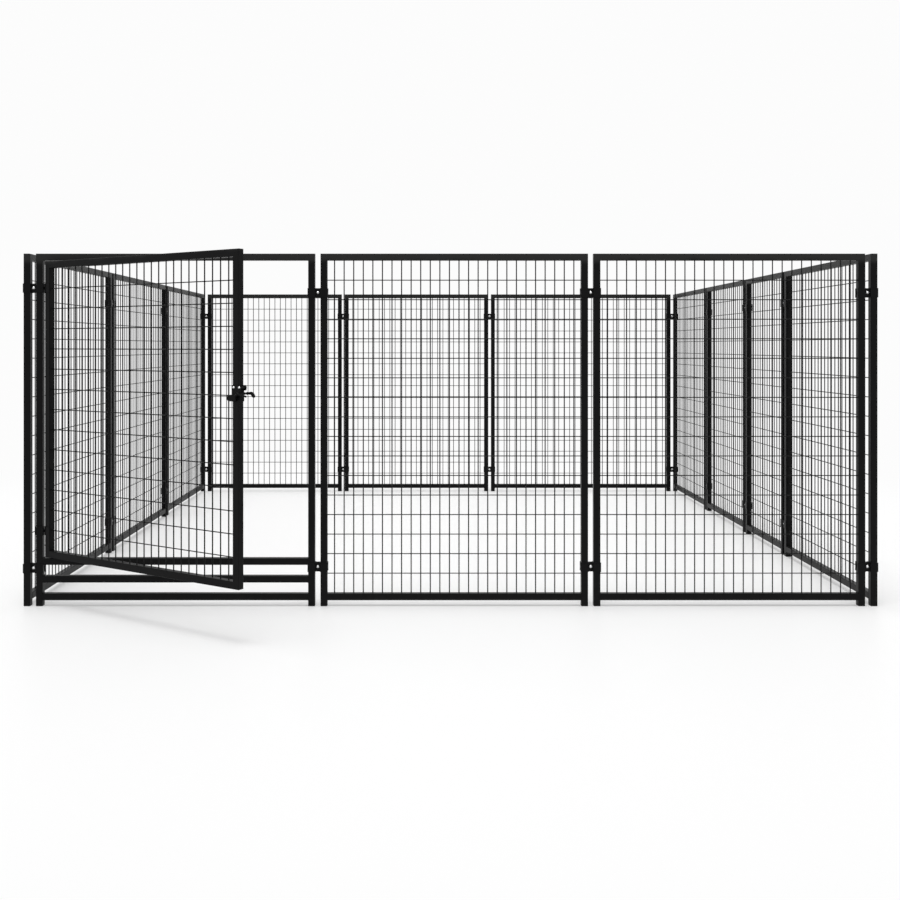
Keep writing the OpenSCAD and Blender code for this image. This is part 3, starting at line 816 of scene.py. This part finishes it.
def clamp_half():
    """Pressed clamp half seen from outside, centred on its bolt, with -Y outwards."""
    tube = sizes_of("tubes")
    sizes = sizes_of("clamps")
    half = tube.side / 2
    outer = tube.side + tube.post_gap / 2 + sizes.play + sizes.sheet
    front = half + sizes.play + sizes.sheet
    channel = tube.post_gap / 2 - sizes.play - sizes.sheet
    web = half - sizes.dip
    inner_fold, tip_round, ease = sizes.fold * 0.6, 3 * MM, 0.45 * MM
    line = [(-outer, -sizes.flange_tip), (-outer, -front), (-channel, -front), (-channel, -web),
            (channel, -web), (channel, -front), (outer, -front), (outer, -sizes.flange_tip)]
    ear = (sizes.height - sizes.flange) / 2
    piece = draw([(x, y, -sizes.height / 2) for x, y in line])
    pick_all()
    for step in (ear, sizes.flange, ear):
        push((0, 0, step))
    pick("EDGE", lambda e: is_fold(e, outer, front))
    round_off(sizes.fold, steps=4, affect="EDGES")
    pick("EDGE", lambda e: is_fold(e, channel, front) or is_fold(e, channel, web))
    round_off(inner_fold, steps=3, affect="EDGES")
    pick("FACE", lambda f: is_ear(f.calc_center_median(), tube.side, sizes.flange))
    bpy.ops.mesh.delete(type="FACE")
    pick("VERT", lambda v: v.co.y > -sizes.flange_tip - NEAR)
    round_off(tip_round, steps=3)
    pick_all()
    bpy.ops.mesh.normals_make_consistent(inside=False)
    faces = bmesh.from_edit_mesh(piece.data).faces
    if sum(f.normal.y * f.calc_area() for f in faces) > 0:
        bpy.ops.mesh.flip_normals()
    bpy.ops.object.mode_set(mode="OBJECT")
    apply(piece, "SOLIDIFY", thickness=sizes.sheet, offset=-1.0, use_even_offset=True)
    return soften(piece, ease, limit=40)


def is_fold(edge, x, y):
    """Whether an upright edge of a clamp lies on a fold."""
    ends = [v.co for v in edge.verts]
    upright = abs(ends[0].z - ends[1].z) > NEAR
    return upright and all(abs(abs(v.x) - x) < NEAR and abs(v.y + y) < NEAR for v in ends)


def is_ear(middle, side, flange):
    """Whether a clamp's face with this middle belongs to the cut-away corners of its flanges."""
    on_flange = middle.y > -side / 2 - NEAR and abs(middle.x) > side
    return on_flange and abs(middle.z) > flange / 2


def crowned_bolt(shank, head, rise, grip):
    """Bolt along Z with the underside of its crowned head at the origin and the head upwards."""
    crown = rise * sizes_of("clamps").crown
    dome = (crown * crown + head * head / 4) / (2 * crown)
    reach = math.asin(head / 2 / dome)
    rim, tip, steps = rise - crown, 0.8 * MM, 7
    ease = rim * 0.3
    slants = [reach * step / steps for step in range(steps)]
    profile = [(dome * math.sin(a), rise - dome * (1 - math.cos(a))) for a in slants]
    profile += [(head / 2, rim), (head / 2, ease), (head / 2 - ease, 0), (shank / 2, 0),
                (shank / 2, tip - grip), (shank / 2 - tip, -grip), (0, -grip)]
    return smooth(lathe(profile, TURNED_SIDES), SMOOTH_TURNED)


def flange_nut(flats, height, bore):
    """Flanged hexagon nut along Z, standing on the origin."""
    corner = flats / 2 / math.cos(math.radians(30))
    start("circle", vertices=6, radius=corner, fill_type="NGON")
    push((0, 0, height))
    hexagon = close()
    top, wide = flats / 2 * 0.96, corner * 1.2
    chamfer = (wide - top) * 0.55
    cone = lathe([(0, -MM), (wide, -MM), (wide, height - chamfer), (top, height), (0, height)], CONE_SIDES)
    cut(hexagon, cone, "INTERSECT")
    rim, neck, edge, thick = corner + 1.6 * MM, corner - 0.4 * MM, 0.7 * MM, 1.6 * MM
    collar = lathe([(0, 0), (rim, 0), (rim, edge), (neck, thick), (0, thick)], TURNED_SIDES)
    lip, sunk, low, high = bore + 0.8 * MM, height - MM, height + 0.1 * MM, height + 0.5 * MM
    lead = lathe([(bore, sunk), (lip, sunk), (lip, low), (bore, high), (bore, sunk)], SMALL_SIDES)
    return smooth(join([hexagon, collar, lead]), SMOOTH_NUT)


class KENNEL_OT_clamps(bpy.types.Operator):
    """Builds the pressed clamps at the panel junctions"""

    bl_idname = "kennel.clamps"
    bl_label = "Clamps"

    def execute(self, context):
        half = clamp_half()
        for side in SIDES:
            for part, way in (("outer", 0), ("inner", 180)):
                piece = join([twin(half, place @ turn(way, "Z")) for place in junctions(side)])
                node = f"clamp_{part}_{side}"
                hand_over(piece, f"{node}_pressings", "yard", "fitting_coat", node)
        discard(half)
        return {"FINISHED"}


class KENNEL_OT_clamp_bolts(bpy.types.Operator):
    """Builds the bolts and nuts that draw the clamp halves together"""

    bl_idname = "kennel.clamp_bolts"
    bl_label = "Clamp bolts and nuts"

    def execute(self, context):
        sizes = sizes_of("clamps")
        web = sizes_of("tubes").side / 2 - sizes.dip + sizes_of("wires").hairline
        grip = 2 * web + sizes.nut_height + sizes.bolt_over
        bolt = crowned_bolt(sizes.bolt, sizes.head, sizes.head_rise, grip)
        nut = flange_nut(sizes.nut, sizes.nut_height, sizes.bolt / 2)
        places = [place for side in SIDES for place in junctions(side)]
        bolts = join([twin(bolt, place @ move(0, -web) @ turn(90, "X")) for place in places])
        nuts = join([twin(nut, place @ move(0, web) @ turn(-90, "X")) for place in places])
        hand_over(bolts, "clamp_bolts_crowned", "yard", "zinc", "clamp_bolts")
        hand_over(nuts, "clamp_nuts_flanged", "yard", "zinc", "clamp_nuts")
        discard(bolt, nut)
        return {"FINISHED"}


# Hinges


def hinge_levels():
    """Heights of the middles of the lower and the upper hinge."""
    low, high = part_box("hinge_post_leaves")
    half = sizes_of("hinges").height / 2
    return low.z + half, high.z - half


def strip(line, bottom, height, thick):
    """Sheet of a thickness along a line of (x, y) points, standing at a height."""
    piece = draw([(x, y, bottom) for x, y in line])
    pick_all()
    push((0, 0, height))
    bpy.ops.object.mode_set(mode="OBJECT")
    return apply(piece, "SOLIDIFY", thickness=thick, offset=0.0, use_even_offset=True)


def knuckle_height():
    """Height of one of the three knuckles of a hinge."""
    sizes = sizes_of("hinges")
    return (sizes.height - 2 * sizes.knuckle_gap) / 3


def rolled_strap(plate_end, plate_y, bottom, roll):
    """Strap that runs from a plate's edge and rolls round the pin, left of the pin."""
    sizes = sizes_of("hinges")
    x, y, _ = joint("gate_swing")["pos_m"]
    ring = sizes.knuckle - sizes.sheet / 2
    bend_start, bend_end = x - 4.5 * MM, x - 2 * MM
    line = [(plate_end, plate_y), (bend_start, plate_y), (bend_end, (plate_y + y + ring) / 2)]
    for step in range(sizes.roll_steps + 1):
        slant = math.pi / 2 - roll * step / sizes.roll_steps
        line.append((x + ring * math.cos(slant), y + ring * math.sin(slant)))
    return strip(line, bottom, knuckle_height(), sizes.sheet)


def leaf_lines():
    """Middles of the thickness of the gate leaves, on the tubes, and of the post leaves, on a clamp."""
    clamp = sizes_of("clamps")
    on_tube = -sizes_of("tubes").side / 2
    off = sizes_of("wires").hairline + sizes_of("hinges").sheet / 2
    return on_tube - off, on_tube - clamp.play - clamp.sheet - off


def mirror_about_pin(piece):
    """Mirrors a piece to the other side of the hinge pin."""
    choose(piece)
    bpy.ops.object.mode_set(mode="EDIT")
    pick_all()
    bpy.ops.transform.resize(
        value=(-1, 1, 1), center_override=(joint("gate_swing")["pos_m"][0], 0, 0))
    return close()


def hinge_pin():
    """Hinge pin along Z with a domed head at each end, centred on the origin."""
    sizes = sizes_of("hinges")
    under = sizes.height / 2 + sizes.knuckle_gap
    top = under + sizes.pin_head_rise
    rim, ease = sizes.pin_head, 0.3 * MM
    end = [(rim * wide, top - drop * MM) for wide, drop in PIN_DOME]
    end += [(rim, under + ease), (rim - ease, under), (sizes.pin, under)]
    return smooth(lathe(end + [(r, -z) for r, z in reversed(end)], SMALL_SIDES), SMOOTH_TURNED)


class KENNEL_OT_hinges(bpy.types.Operator):
    """Builds the hinges with their rolled knuckles and pins"""

    bl_idname = "kennel.hinges"
    bl_label = "Hinges"

    def execute(self, context):
        sizes = sizes_of("hinges")
        side = sizes_of("tubes").side
        pin_x, pin_y, _ = joint("gate_swing")["pos_m"]
        step = knuckle_height() + sizes.knuckle_gap
        reach = sizes.knuckle + sizes.knuckle_clear
        lap, fold, fold_in, ease, bead_short = 0.5 * MM, 2 * MM, 0.6 * MM, 0.4 * MM, 4 * MM
        post_edge, plate_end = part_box("hinge_post_leaves")[0].x, pin_x - reach + lap
        flange_x = leaf_box()[0] + side + sizes.sheet / 2 + sizes_of("wires").hairline
        gate_y, post_y = leaf_lines()
        packing_y = (gate_y + post_y) / 2 + sizes.sheet / 2
        folded = [(pin_x + reach - lap, gate_y), (flange_x - fold, gate_y),
                  (flange_x - fold_in, gate_y + fold_in), (flange_x, gate_y + fold),
                  (flange_x, sizes.leaf_return - side / 2)]
        bead = weld_bead(sizes.height - bead_short)
        pin = hinge_pin()
        post_parts, gate_parts, pins, beads = [], [], [], []
        for level in hinge_levels():
            bottom = level - sizes.height / 2
            post_parts.append(
                strip([(post_edge, post_y), (plate_end, post_y)], bottom, sizes.height, sizes.sheet))
            for knuckle in (bottom, bottom + 2 * step):
                post_parts.append(rolled_strap(pin_x - reach, post_y, knuckle, sizes.post_roll))
            beads.append(twin(bead, move(post_edge, post_y + sizes.sheet / 2, level)))
            gate_parts.append(strip(folded, bottom, sizes.height, sizes.sheet))
            strap = rolled_strap(pin_x - reach, gate_y, bottom + step, sizes.gate_roll)
            gate_parts.append(mirror_about_pin(strap))
            pins.append(twin(pin, move(pin_x, pin_y, level)))
        # Only the upper hinge lies on a clamp, so the lower one has a packing plate
        packing = [(post_edge, packing_y), (plate_end, packing_y)]
        bottom = hinge_levels()[0] - sizes.height / 2
        post_parts.append(strip(packing, bottom, sizes.height, gate_y - post_y))
        for part in post_parts + gate_parts:
            soften(part, ease)
        gate_piece = join(gate_parts)
        gate_piece.data.transform(gate_place())
        hand_over(join(post_parts + beads), "hinge_post_leaves_rolled", "yard", "fitting_coat",
                  "hinge_post_leaves")
        hand_over(gate_piece, "hinge_gate_leaves_rolled", "gate", "fitting_coat", "hinge_gate_leaves")
        hand_over(join(pins), "hinge_pins_turned", "yard", "fitting_coat", "hinge_pins")
        discard(bead, pin)
        return {"FINISHED"}


# Latch


def latch_frame():
    """Pivot of the fork on the closed gate, and the stile's inner and outer edges."""
    sizes = sizes_of("latch")
    left, _, width, _ = leaf_box()
    edge = left + width
    return edge + sizes.barrel_clear + sizes.barrel, edge - sizes_of("tubes").side, edge


def latch_plate(outline, front):
    """Latch plate with rounded corners from an outline of (x, z) points, its front at a distance along Y."""
    thick, corner, ease = sizes_of("latch").plate, 4 * MM, 0.5 * MM
    draw([(x, z, 0) for x, z in outline])
    pick_all()
    bpy.ops.mesh.edge_face_add()
    round_off(corner, steps=4)
    pick_all()
    push((0, 0, thick))
    piece = soften(close(), ease)
    piece.data.transform(move(0, front + thick) @ turn(90, "X"))
    return piece


def sleeve(bore, radius, length, place):
    """Sleeve with eased rims along Z from a place."""
    ease = 0.4 * MM
    profile = [(bore, 0), (radius - ease, 0), (radius, ease), (radius, length - ease),
               (radius - ease, length), (bore, length), (bore, 0)]
    piece = smooth(lathe(profile, TURNED_SIDES))
    piece.data.transform(place)
    return piece


class KENNEL_OT_latch(bpy.types.Operator):
    """Builds the latch plates, the pivot barrel and their bolts"""

    bl_idname = "kennel.latch"
    bl_label = "Latch"

    def execute(self, context):
        sizes = sizes_of("latch")
        side, hairline = sizes_of("tubes").side, sizes_of("wires").hairline
        half = side / 2
        pivot, inner, outer = latch_frame()
        face = half + hairline + sizes.plate
        left, right = inner - sizes.plate_in, pivot + sizes.barrel + sizes.plate_out
        low, top = sizes.level - sizes.plate_down, sizes.level + sizes.plate_up
        step, ear = outer + sizes.plate_out, top - sizes.ear
        front = latch_plate([(left, low), (right, low), (right, top), (left, top)], -face)
        back = latch_plate([(left, low), (step, low), (step, ear), (right, ear), (right, top), (left, top)],
                           half + hairline)
        play, slack, over, tail = 0.05 * MM, 0.2 * MM, 2.4 * MM, 0.2 * MM
        bore = sizes_of("fork").bar + play
        axis = move(pivot, half, sizes.level) @ turn(90, "X")
        drill = lathe([(0, 0), (bore, 0), (bore, 2 * side), (0, 2 * side)], TURNED_SIDES)
        drill.data.transform(axis)
        cut(front, drill, "DIFFERENCE")
        length, bolt_level = side + over, sizes.level + sizes.bolt_up
        barrel = sleeve(bore, sizes.barrel, length, axis)
        bolt_axis = move(pivot, half, bolt_level) @ turn(90, "X")
        spacer = sleeve(sizes.bolt / 2 + slack, sizes.spacer, length, bolt_axis)
        grip = 2 * face + sizes.nut_height + tail
        bolt = crowned_bolt(sizes.bolt, sizes.head, sizes.head_rise, grip)
        nut = flange_nut(sizes.nut, sizes.nut_height, sizes.bolt / 2)
        spots = (inner + sizes.bolt_in, pivot)
        seat = face + hairline
        bolts = join([twin(bolt, move(x, -seat, bolt_level) @ turn(90, "X")) for x in spots])
        nuts = join([twin(nut, move(x, seat, bolt_level) @ turn(-90, "X")) for x in spots])
        for piece, name, slot, node in (
                (join([front, barrel, spacer]), "latch_bracket_plate", "fitting_coat", "latch_bracket"),
                (back, "latch_back_plate_pressed", "fitting_coat", "latch_back_plate"),
                (bolts, "latch_bolts_crowned", "zinc", "latch_bolts"),
                (nuts, "latch_nuts_flanged", "zinc", "latch_nuts")):
            piece.data.transform(gate_place())
            hand_over(piece, name, "gate", slot, node)
        discard(bolt, nut)
        return {"FINISHED"}


def straight_bar(first, second, radius):
    """Round bar from one place to another."""
    draw([first, second])
    bpy.ops.object.mode_set(mode="OBJECT")
    bpy.ops.object.convert(target="CURVE")
    line = bpy.context.object.data
    line.bevel_depth = radius
    line.bevel_resolution = 6
    line.use_fill_caps = True
    bpy.ops.object.convert(target="MESH")
    bpy.ops.object.mode_set(mode="EDIT")
    return close()


def ball(radius, place, factors=(1, 1, 1)):
    """Rounded lump at a place, stretched along the axes."""
    start("uv_sphere", segments=20, ring_count=12, radius=radius)
    stretch(factors)
    bpy.ops.transform.translate(value=place)
    return close()


def tapered(first, first_radius, second, second_radius):
    """Round-ended bar that tapers from one place to another."""
    return hull([ball(first_radius, first), ball(second_radius, second)])


def thumb_pad():
    """Flat pad in the XZ plane, tapering along -X from its thick end at the origin."""
    sizes = sizes_of("fork")
    ends = []
    for radius, x in ((sizes.pad, 0), (sizes.pad_end, -sizes.pad_reach)):
        start("cylinder", vertices=40, radius=radius, depth=sizes.pad_depth)
        bpy.ops.transform.rotate(value=math.pi / 2, orient_axis="X", center_override=(0, 0, 0))
        bpy.ops.transform.translate(value=(x, 0, 0))
        ends.append(close())
    return hull(ends)


def slope(radians):
    """Unit vector in the gate's plane, at an angle above the line to the latch post."""
    return Vector((math.cos(radians), 0, math.sin(radians)))


class KENNEL_OT_fork(bpy.types.Operator):
    """Builds the forged lift-up fork of the latch"""

    bl_idname = "kennel.fork"
    bl_label = "Latch fork"

    def execute(self, context):
        sizes = sizes_of("fork")
        pivot, _, edge = latch_frame()
        reach = edge + sizes_of("gate").latch_gap + sizes_of("tubes").side + sizes.tine_over - pivot
        front, rear = Vector((0, -sizes.out, 0)), Vector((0, sizes.out, 0))
        front_tip = front + slope(-sizes.tine_drop) * reach
        lever_end = front + slope(math.pi + sizes.lever_tilt) * sizes.lever
        pad = thumb_pad()
        pad.data.transform(move(*lever_end) @ turn(-3, "Y"))
        bar, tine, boss_flat = sizes.bar - 0.3 * MM, sizes.bar * 1.06, (1, 0.85, 1)
        tine_root, hook_root, lever_root, lever_tip = (tine * part for part in (1.15, 1.2, 1.3, 1.1))
        parts = [
            straight_bar(front, rear, bar),
            tapered(front, tine_root, front_tip, tine),
            tapered(front, lever_root, lever_end, lever_tip),
            ball(sizes.boss, front, boss_flat),
            ball(sizes.boss, rear, boss_flat),
            pad,
        ]
        here, wide = rear, hook_root
        for length, rise, out, radius in HOOK:
            there = here + slope(math.radians(rise)) * length + Vector((0, out, 0))
            parts.append(tapered(here, wide, there, radius))
            here, wide = there, radius
        piece = join(parts)
        apply(piece, "REMESH", mode="VOXEL", voxel_size=0.8 * MM)
        apply(piece, "SMOOTH", factor=0.5, iterations=5)
        smooth(piece, SMOOTH_ROUND)
        piece.data.transform(gate_place() @ move(pivot, 0, sizes_of("latch").level))
        hand_over(piece, "latch_fork_forged", "fork", "fitting_coat", "latch_fork")
        return {"FINISHED"}


# Finishes


class Value:
    """Socket of a shader tree that can be used in sums."""

    def __init__(self, tree, socket):
        self.tree = tree
        self.socket = socket

    def maths(self, operation, *values):
        """Adds a Math node."""
        node = self.tree.nodes.new("ShaderNodeMath")
        node.operation = operation
        for socket, value in zip(node.inputs, values):
            if isinstance(value, Value):
                self.tree.links.new(value.socket, socket)
            else:
                socket.default_value = value
        return Value(self.tree, node.outputs[0])

    def __add__(self, other):
        return self.maths("ADD", self, other)

    def __radd__(self, other):
        return self.maths("ADD", other, self)

    def __sub__(self, other):
        return self.maths("SUBTRACT", self, other)

    def __rsub__(self, other):
        return self.maths("SUBTRACT", other, self)

    def __mul__(self, other):
        return self.maths("MULTIPLY", self, other)

    def __rmul__(self, other):
        return self.maths("MULTIPLY", other, self)


class Finish:
    """Node tree of a material or a world."""

    def __init__(self, owner):
        self.owner = owner
        owner.use_nodes = True
        self.tree = owner.node_tree
        self.tree.nodes.clear()

    def node(self, kind, settings=None, sockets=None, output=0):
        """Adds a node with its settings first and then the values or links of its sockets."""
        made = self.tree.nodes.new(kind)
        for key, value in (settings or {}).items():
            setattr(made, key, value)
        for key, value in (sockets or {}).items():
            socket = made.inputs[key]
            if isinstance(value, Value):
                self.tree.links.new(value.socket, socket)
            else:
                socket.default_value = value
        return Value(self.tree, made.outputs[output]) if made.outputs else None

    def place(self):
        """The object's own coordinates."""
        return self.node("ShaderNodeTexCoord", output="Object")

    def noise(self, scale, detail=2.0, rough=0.5):
        """Noise from 0 to 1 on the object's own coordinates."""
        return self.node("ShaderNodeTexNoise", None, {
            "Vector": self.place(), "Scale": scale, "Detail": detail, "Roughness": rough})

    def between(self, value, low, high):
        """Smooth step of a value from low to high."""
        return self.node("ShaderNodeMapRange", {"interpolation_type": "SMOOTHSTEP"}, {
            "Value": value, "From Min": low, "From Max": high, "To Min": 0.0, "To Max": 1.0})

    def blend(self, mask, first, second):
        """Colour that goes from the first to the second with a mask."""
        return self.node("ShaderNodeMix", {"data_type": "RGBA"}, {
            0: mask, 6: self.rgba(first), 7: self.rgba(second)}, output=2)

    @staticmethod
    def rgba(value):
        """Colour with its alpha, or a link as it is."""
        return value if isinstance(value, Value) else (*value, 1.0)

    def bump(self, height, strength, distance):
        """Normal raised by a height."""
        return self.node("ShaderNodeBump", None, {
            "Height": height, "Strength": strength, "Distance": distance})

    def upright(self, vector):
        """Upright part of a vector."""
        return self.node("ShaderNodeSeparateXYZ", None, {"Vector": vector}, output="Z")

    def height(self):
        """Height above the ground."""
        return self.upright(self.place())

    def upward(self, low, high):
        """How far a face looks up, from 0 at the low to 1 at the high upright part of its normal."""
        normal = self.node("ShaderNodeNewGeometry", output="Normal")
        return self.between(self.upright(normal), low, high)

    def seen(self):
        """Mask of the rays that see the backdrop: camera, glossy and transmission."""
        rays = self.tree.nodes.new("ShaderNodeLightPath")
        camera, glossy, clear = (Value(self.tree, rays.outputs[name]) for name in (
            "Is Camera Ray", "Is Glossy Ray", "Is Transmission Ray"))
        return camera.maths("MAXIMUM", camera.maths("MAXIMUM", camera, glossy), clear)

    def end(self, sockets):
        """Feeds the sockets of the surface shader and closes the tree."""
        surface = self.node("ShaderNodeBsdfPrincipled", None, sockets)
        self.node("ShaderNodeOutputMaterial", None, {"Surface": surface})


def coat_finish(kind):
    """Powder coat: orange peel, uneven gloss, top rails painted lighter as a painted sheen, and a trace of
    dust.
    """
    finishes = sizes_of("finishes")
    base = getattr(finishes, kind)
    peel, dusty = COATS[kind]
    rail = panel_height() - sizes_of("tubes").side
    coat = Finish(bpy.data.materials.new(f"kennel_{kind}_coat"))
    fine = coat.noise(peel)
    grit = coat.noise(peel * 3.7, detail=1.0)
    broad = coat.noise(5.0, detail=3.0, rough=0.6)
    low = 1.0 - coat.between(coat.height(), 0.0, finishes.splash)
    specks = coat.between(coat.noise(38.0, detail=4.0, rough=0.65), low=0.35, high=0.75)
    settled, splashed = coat.upward(low=0.55, high=0.95) * 0.7, low * 0.35
    dust = (settled + splashed) * specks * dusty
    # Painted sheen: the top rails are painted lighter, with a ragged lower edge, in place of the light they
    # reflect
    level = coat.height() + (broad - 0.5) * finishes.sheen_edge
    painted_rail_sheen = coat.between(level, rail - finishes.sheen_below, rail + finishes.sheen_above)
    shade = coat.blend(coat.between(broad, low=0.3, high=0.7), base, [c * 1.35 for c in base])
    uneven = (broad - 0.5) * 0.16 + (fine - 0.5) * 0.06
    coat.end({
        "Base Color": coat.blend(dust, coat.blend(painted_rail_sheen, shade, finishes.painted_rail_sheen), finishes.dust),
        "Roughness": finishes.coat_rough + uneven + dust * 0.5,
        "Specular IOR Level": finishes.coat_gloss,
        "Normal": coat.bump(fine * 0.75 + grit * 0.25, strength=0.35, distance=0.075 / peel),
    })


def zinc_finish():
    """Bright zinc plate with faint clouding; faces that look down are painted dark as painted shade, and are
    rougher.
    """
    finishes = sizes_of("finishes")
    zinc = Finish(bpy.data.materials.new("kennel_zinc"))
    cloud = zinc.noise(420.0, detail=3.0, rough=0.6)
    grain = zinc.noise(2600.0)
    # Painted shade: faces are darkened the further they look down, and keep the bright zinc where they look
    # up
    lit_side_mask = zinc.upward(low=-0.5, high=0.05)
    clouded = [c * 0.9 for c in finishes.zinc]
    plate = zinc.blend(zinc.between(cloud, low=0.3, high=0.7), clouded, finishes.zinc)
    zinc.end({
        "Base Color": zinc.blend(lit_side_mask, finishes.painted_underside_shade, plate),
        "Metallic": 1.0,
        "Roughness": finishes.zinc_rough + cloud * 0.1 - lit_side_mask * 0.16,
        "Normal": zinc.bump(grain, strength=0.12, distance=0.05 * MM),
    })


def plastic_finish():
    """Moulded plastic with a fine spark-eroded grain and scuffed faces."""
    finishes = sizes_of("finishes")
    plastic = Finish(bpy.data.materials.new("kennel_plug_plastic"))
    grain = plastic.noise(1900.0)
    scuff = plastic.between(plastic.noise(120.0, detail=4.0, rough=0.7), low=0.55, high=0.75)
    plastic.end({
        "Base Color": plastic.blend(scuff * 0.35, finishes.plastic, finishes.dust),
        "Roughness": finishes.plastic_rough + scuff * 0.2,
        "Specular IOR Level": finishes.plastic_gloss,
        "Normal": plastic.bump(grain, strength=0.3, distance=0.1 * MM),
    })


class KENNEL_OT_finishes(bpy.types.Operator):
    """Makes the coats, plating and plastic of the kennel"""

    bl_idname = "kennel.finishes"
    bl_label = "Finishes"

    def execute(self, context):
        for kind in COATS:
            coat_finish(kind)
        zinc_finish()
        plastic_finish()
        return {"FINISHED"}


# Stage


class KENNEL_OT_studio(bpy.types.Operator):
    """Sets up the pale floor, the soft studio light and the camera"""

    bl_idname = "kennel.studio"
    bl_label = "Studio"

    def execute(self, context):
        scene = context.scene
        scene.view_settings.view_transform = "Standard"
        studio = sizes_of("studio")
        self.floor(studio)
        scene.world = self.world(studio)
        self.key_light(studio)
        scene.camera = self.camera(studio)
        return {"FINISHED"}

    @staticmethod
    def floor(studio):
        """Pale floor that keeps the shadow near the kennel and fades to white further out."""
        start("plane", size=studio.floor_span)
        bpy.ops.mesh.subdivide(number_cuts=1)
        floor = close()
        floor.name = "floor"
        middle = (CAD_BOX[0] + CAD_BOX[1]) / 2
        finish = Finish(bpy.data.materials.new("pale_floor"))
        spot = finish.node("ShaderNodeMapping", None, {
            "Vector": finish.place(), "Location": (-middle.x, -middle.y, 0.0)})
        far = finish.node("ShaderNodeVectorMath", {"operation": "LENGTH"}, {0: spot}, output="Value")
        lit = finish.node("ShaderNodeBsdfPrincipled", None, {
            "Base Color": finish.rgba(studio.floor), "Roughness": studio.floor_rough,
            "Specular IOR Level": studio.floor_gloss})
        pale = finish.node("ShaderNodeEmission", None, {
            "Color": finish.rgba(studio.backdrop), "Strength": 1.0})
        fade = finish.between(far, studio.fade_start, studio.fade_end)
        paleness = finish.seen() * (studio.glow + (1.0 - studio.glow) * fade)
        mixed = finish.node("ShaderNodeMixShader", None, {0: paleness, 1: lit, 2: pale})
        finish.node("ShaderNodeOutputMaterial", None, {"Surface": mixed})
        floor.data.materials.append(finish.owner)

    @staticmethod
    def world(studio):
        """White surround for what is seen and mirrored, and a softer one as light."""
        finish = Finish(bpy.data.worlds.new("studio"))
        light = finish.node("ShaderNodeBackground", None, {
            "Color": (1.0, 1.0, 1.0, 1.0), "Strength": studio.surround})
        pale = finish.node("ShaderNodeBackground", None, {
            "Color": finish.rgba(studio.backdrop), "Strength": 1.0})
        mixed = finish.node("ShaderNodeMixShader", None, {0: finish.seen(), 1: light, 2: pale})
        finish.node("ShaderNodeOutputWorld", None, {"Surface": mixed})
        return finish.owner

    @staticmethod
    def key_light(studio):
        """Broad soft light from above."""
        leave()
        away = Vector(studio.key_from)
        bpy.ops.object.light_add(type="SUN", location=away * studio.key_away)
        lamp = bpy.context.object
        lamp.name = "key_light"
        lamp.rotation_euler = (-away).to_track_quat("-Z", "Y").to_euler()
        lamp.data.angle = studio.key_spread
        lamp.data.energy = studio.key_strength

    @staticmethod
    def camera(studio):
        """Level camera in front of the yard, at standing height."""
        leave()
        bpy.ops.object.camera_add(location=studio.camera, rotation=(math.pi / 2, 0, 0))
        camera = bpy.context.object
        camera.name = "front_camera"
        camera.data.sensor_width = 36
        camera.data.lens = studio.lens
        camera.data.shift_x = studio.shift_x
        camera.data.shift_y = studio.shift_y
        camera.data.clip_start = 0.05
        camera.data.clip_end = 200
        return camera


class KENNEL_PT_sidebar(bpy.types.Panel):
    """Lists the kennel's sizes and pieces"""

    bl_label = "Dog kennel run"
    bl_idname = "KENNEL_PT_sidebar"
    bl_space_type = "VIEW_3D"
    bl_region_type = "UI"
    bl_category = "Kennel"

    def draw(self, context):
        for group in GROUPS:
            values = sizes_of(group)
            box = self.layout.box()
            for name in values.bl_rna.properties.keys():
                if name not in ("rna_type", "name"):
                    box.prop(values, name)
        for operator in OPERATORS:
            self.layout.operator(operator.bl_idname)


GROUPS = {
    "tubes": KennelTubeSizes,
    "wires": KennelWireSizes,
    "clamps": KennelClampSizes,
    "gate": KennelGateSizes,
    "hinges": KennelHingeSizes,
    "latch": KennelLatchSizes,
    "fork": KennelForkSizes,
    "finishes": KennelFinishes,
    "studio": KennelStudio,
}
OPERATORS = (
    KENNEL_OT_finishes, KENNEL_OT_panel_frames, KENNEL_OT_panel_wires, KENNEL_OT_gate_leaf,
    KENNEL_OT_foot_plugs, KENNEL_OT_clamps, KENNEL_OT_clamp_bolts, KENNEL_OT_hinges, KENNEL_OT_latch,
    KENNEL_OT_fork, KENNEL_OT_studio,
)


def register():
    """Registers the property groups, operators and panel."""
    for name, group in GROUPS.items():
        bpy.utils.register_class(group)
        setattr(bpy.types.Scene, f"kennel_{name}", bpy.props.PointerProperty(type=group))
    for operator in OPERATORS:
        bpy.utils.register_class(operator)
    bpy.utils.register_class(KENNEL_PT_sidebar)


def unregister():
    """Removes what register() added."""
    bpy.utils.unregister_class(KENNEL_PT_sidebar)
    for operator in reversed(OPERATORS):
        bpy.utils.unregister_class(operator)
    for name, group in reversed(GROUPS.items()):
        delattr(bpy.types.Scene, f"kennel_{name}")
        bpy.utils.unregister_class(group)


def main():
    """Builds every piece in order."""
    register()
    bpy.ops.kennel.finishes()
    bpy.ops.kennel.panel_frames()
    bpy.ops.kennel.panel_wires()
    bpy.ops.kennel.gate_leaf()
    bpy.ops.kennel.foot_plugs()
    bpy.ops.kennel.clamps()
    bpy.ops.kennel.clamp_bolts()
    bpy.ops.kennel.hinges()
    bpy.ops.kennel.latch()
    bpy.ops.kennel.fork()
    bpy.ops.kennel.studio()
    leave()


if __name__ == "__main__":
    main()
